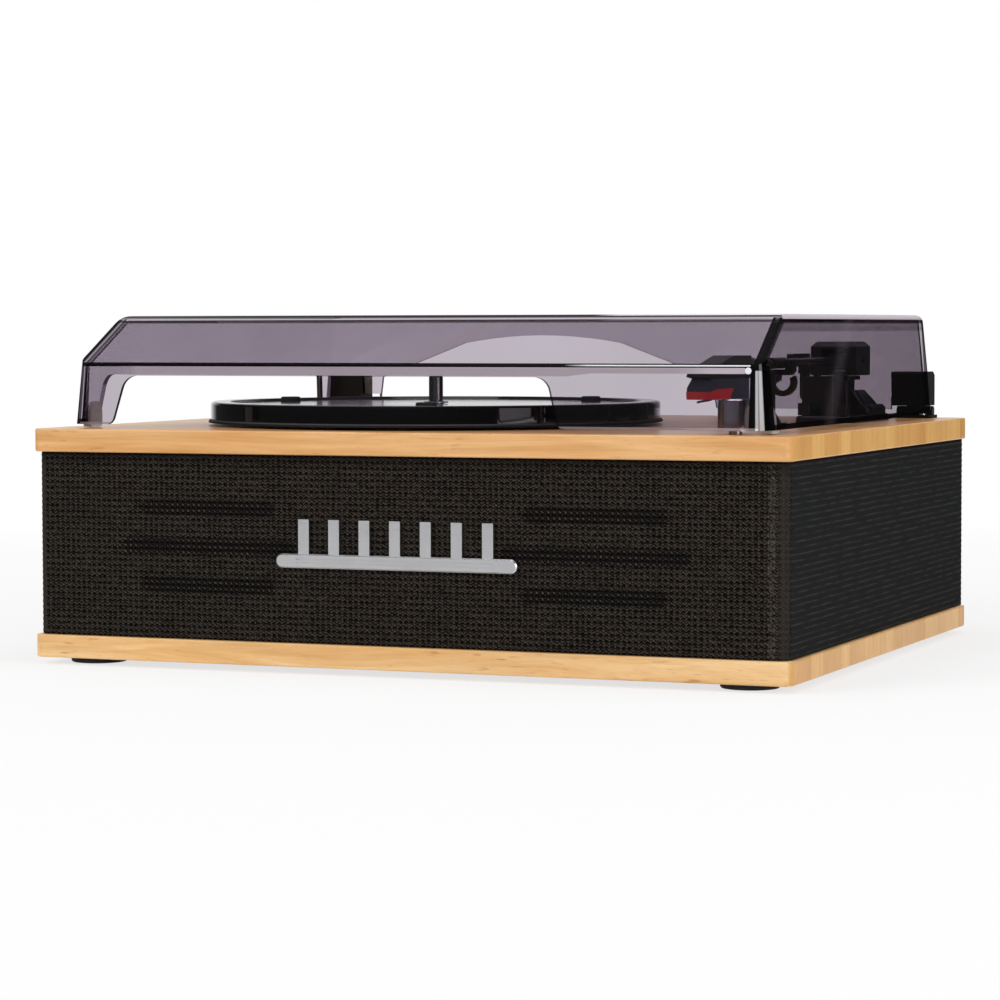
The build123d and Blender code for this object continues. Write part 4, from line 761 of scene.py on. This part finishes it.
def make_cloth():
    """The cloth, the length of its wrap and the height between the boards."""
    low, high = CLOTH_LOW.z + END_ROOM, CLOTH_HIGH.z - END_ROOM
    rows = round((high - low) / STEP)
    levels = [(low, TURNED_IN)]
    levels += [(low + (high - low) * j / rows, 0.0) for j in range(rows + 1)]
    levels += [(high, TURNED_IN)]
    path, length = wrap_path()
    vertices, opened, flat = [], [], []
    for j, (z, inward) in enumerate(levels):
        for i, (x, y, ux, uy) in enumerate(path):
            gap = over_slot(x, z) if uy < -0.99 else 0.0
            swell = -RELIEF if (i + j) % 2 else RELIEF
            push = (0.0 if inward else swell) - inward - SINK * gap
            vertices.append((x + ux * push, y + uy * push, z))
            opened.append(gap)
            flat.append((i * STEP, j * STEP))
    wide = len(path)
    faces = [(j * wide + i, j * wide + i + 1, (j + 1) * wide + i + 1, (j + 1) * wide + i)
             for j in range(len(levels) - 1) for i in range(wide - 1)]
    piece = add_piece("speaker_cloth", vertices, faces, woven("speaker cloth", YARN, FLECK, SIDE_YARN, WEAVE))
    mesh = piece.data
    mesh.attributes.new("open", "FLOAT", "POINT").data.foreach_set("value", opened)
    weave_map = mesh.uv_layers.new(name="weave")
    for loop in mesh.loops:
        weave_map.data[loop.index].uv = flat[loop.vertex_index]
    mesh.shade_smooth()
    return piece, length, high - low


cloth, wrap_length, wrap_height = make_cloth()
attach(cloth, "cabinet")
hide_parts("grille_cloth")


# The plate that closes the arm housing's open back, its corners in millimetres
PLATE_LOW, PLATE_HIGH = (136.1, 95.2, 138.5), (148.9, 96.3, 149.8)


def block(name, low, high, finish_slot, body):
    """A plain box of a piece, its places in millimetres."""
    xs, ys, zs = zip(low, high)
    corners = [(x * MM, y * MM, z * MM) for x in xs for y in ys for z in zs]
    faces = [(0, 1, 3, 2), (4, 6, 7, 5), (0, 4, 5, 1), (2, 3, 7, 6), (0, 2, 6, 4), (1, 5, 7, 3)]
    piece = add_piece(name, corners, faces, finish_for(finish_slot))
    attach(piece, body)


block("housing_back_plate", PLATE_LOW, PLATE_HIGH, "arm_black", "arm_housing")


# Floor and world: white to the camera; reflections see the white sweep near and behind the object, and a dim
# studio elsewhere
DIM, FAINT = 0.05, 0.14
SWEEP_FROM, SWEEP_TO = 0.84, 0.95
WHITE = (1, 1, 1, 1)
FLOOR_HALF, FLOOR_GREY, FLOOR_DROP = 6.0, (0.9, 0.9, 0.9, 1), 0.4 * MM


def bearing(g, x, y, distance):
    """1 for what lies straight behind the object as the photograph sees it, and -1 straight in front."""
    along = g.plus(g.times(x, -math.sin(YAW)), g.times(y, math.cos(YAW)))
    return g.math("DIVIDE", along, distance)


def make_floor():
    g = Finish("pale floor", Base_Color=FLOOR_GREY, Roughness=0.7, Specular_IOR_Level=0.0)
    from_camera, mirrored = g.ray_kinds()
    distance = g.reach((0, 0, 0))
    white_share = g.between(distance, 0.3, 1.1, 0.72, 1.0)
    x, y, _ = g.split(g.point())
    behind = g.between(bearing(g, x, y, distance), SWEEP_FROM, SWEEP_TO, DIM, 1.0)
    sweep = g.most(g.between(distance, 0.7, 1.2, 1.0, DIM), behind)
    seen = g.most(from_camera, mirrored)
    shown = g.most(from_camera, g.times(mirrored, sweep))
    white = g.put("ShaderNodeEmission", {"Color": WHITE, "Strength": shown})
    g.end_in(g.put("ShaderNodeMixShader", {0: g.times(seen, white_share), 1: g.shader.outputs[0],
                                           2: white.outputs[0]}))
    size = FLOOR_HALF
    corners = [(-size, -size, 0), (size, -size, 0), (size, size, 0), (-size, size, 0)]
    floor = add_piece("floor", corners, [(0, 1, 2, 3)], g.material)
    floor.location.z = -FLOOR_DROP


def make_world():
    world = bpy.data.worlds.new("studio")
    bpy.context.scene.world = world
    world.use_nodes = True
    g = Graph(world.node_tree)
    x, y, z = g.split(g.place("Generated"))
    level = g.math("POWER", g.plus(g.times(x, x), g.times(y, y)), 0.5)
    turned = bearing(g, x, y, level)
    backdrop = g.times(g.between(turned, SWEEP_FROM, SWEEP_TO, DIM, 1.0), g.between(z, 0.45, 0.80, 1.0, 0.2))
    backdrop = g.most(backdrop, g.between(turned, -0.95, -0.6, FAINT, DIM))
    from_camera, mirrored = g.ray_kinds()
    lit = g.between(mirrored, 0.0, 1.0, 0.5, backdrop)
    background = g.tree.nodes["Background"].inputs
    g.feed(background["Strength"], g.most(from_camera, lit))
    g.feed(background["Color"], WHITE)


def soft_box(name, place, aim, wide, tall, power):
    """A rectangular soft light at place, turned to aim."""
    data = bpy.data.lights.new(name, "AREA")
    data.shape = "RECTANGLE"
    data.size, data.size_y, data.energy = wide, tall, power
    lamp = bpy.data.objects.new(name, data)
    lamp.location = place
    lamp.rotation_euler = (Vector(aim) - Vector(place)).to_track_quat("-Z", "Y").to_euler()
    bpy.context.scene.collection.objects.link(lamp)


def make_camera():
    forward = Vector((-math.sin(YAW) * math.cos(PITCH), math.cos(YAW) * math.cos(PITCH), -math.sin(PITCH)))
    right = Vector((math.cos(YAW), math.sin(YAW), 0))
    down = forward.cross(right)
    rolled_right = math.cos(ROLL) * right + math.sin(ROLL) * down
    rolled_down = math.cos(ROLL) * down - math.sin(ROLL) * right
    data = bpy.data.cameras.new("camera")
    data.sensor_width = SENSOR
    data.lens = FOCAL_PX * SENSOR / IMAGE_PX
    camera = bpy.data.objects.new("camera", data)
    turned = Matrix((rolled_right, -rolled_down, -forward)).transposed().to_4x4()
    camera.matrix_world = Matrix.Translation(CAMERA_PLACE) @ turned
    bpy.context.scene.collection.objects.link(camera)
    bpy.context.scene.camera = camera


make_floor()
make_world()
soft_box("key", (-1.3, -1.9, 1.3), (0, 0, 0.08), 1.1, 0.8, 22)
soft_box("right", (1.55, -0.75, 0.48), (0.1, 0, 0.08), 0.8, 0.9, 8)
soft_box("top", (0.12, -0.1, 1.5), (0.12, 0, 0.1), 1.2, 0.6, 7)
make_camera()
bpy.context.scene.view_settings.view_transform = "Standard"
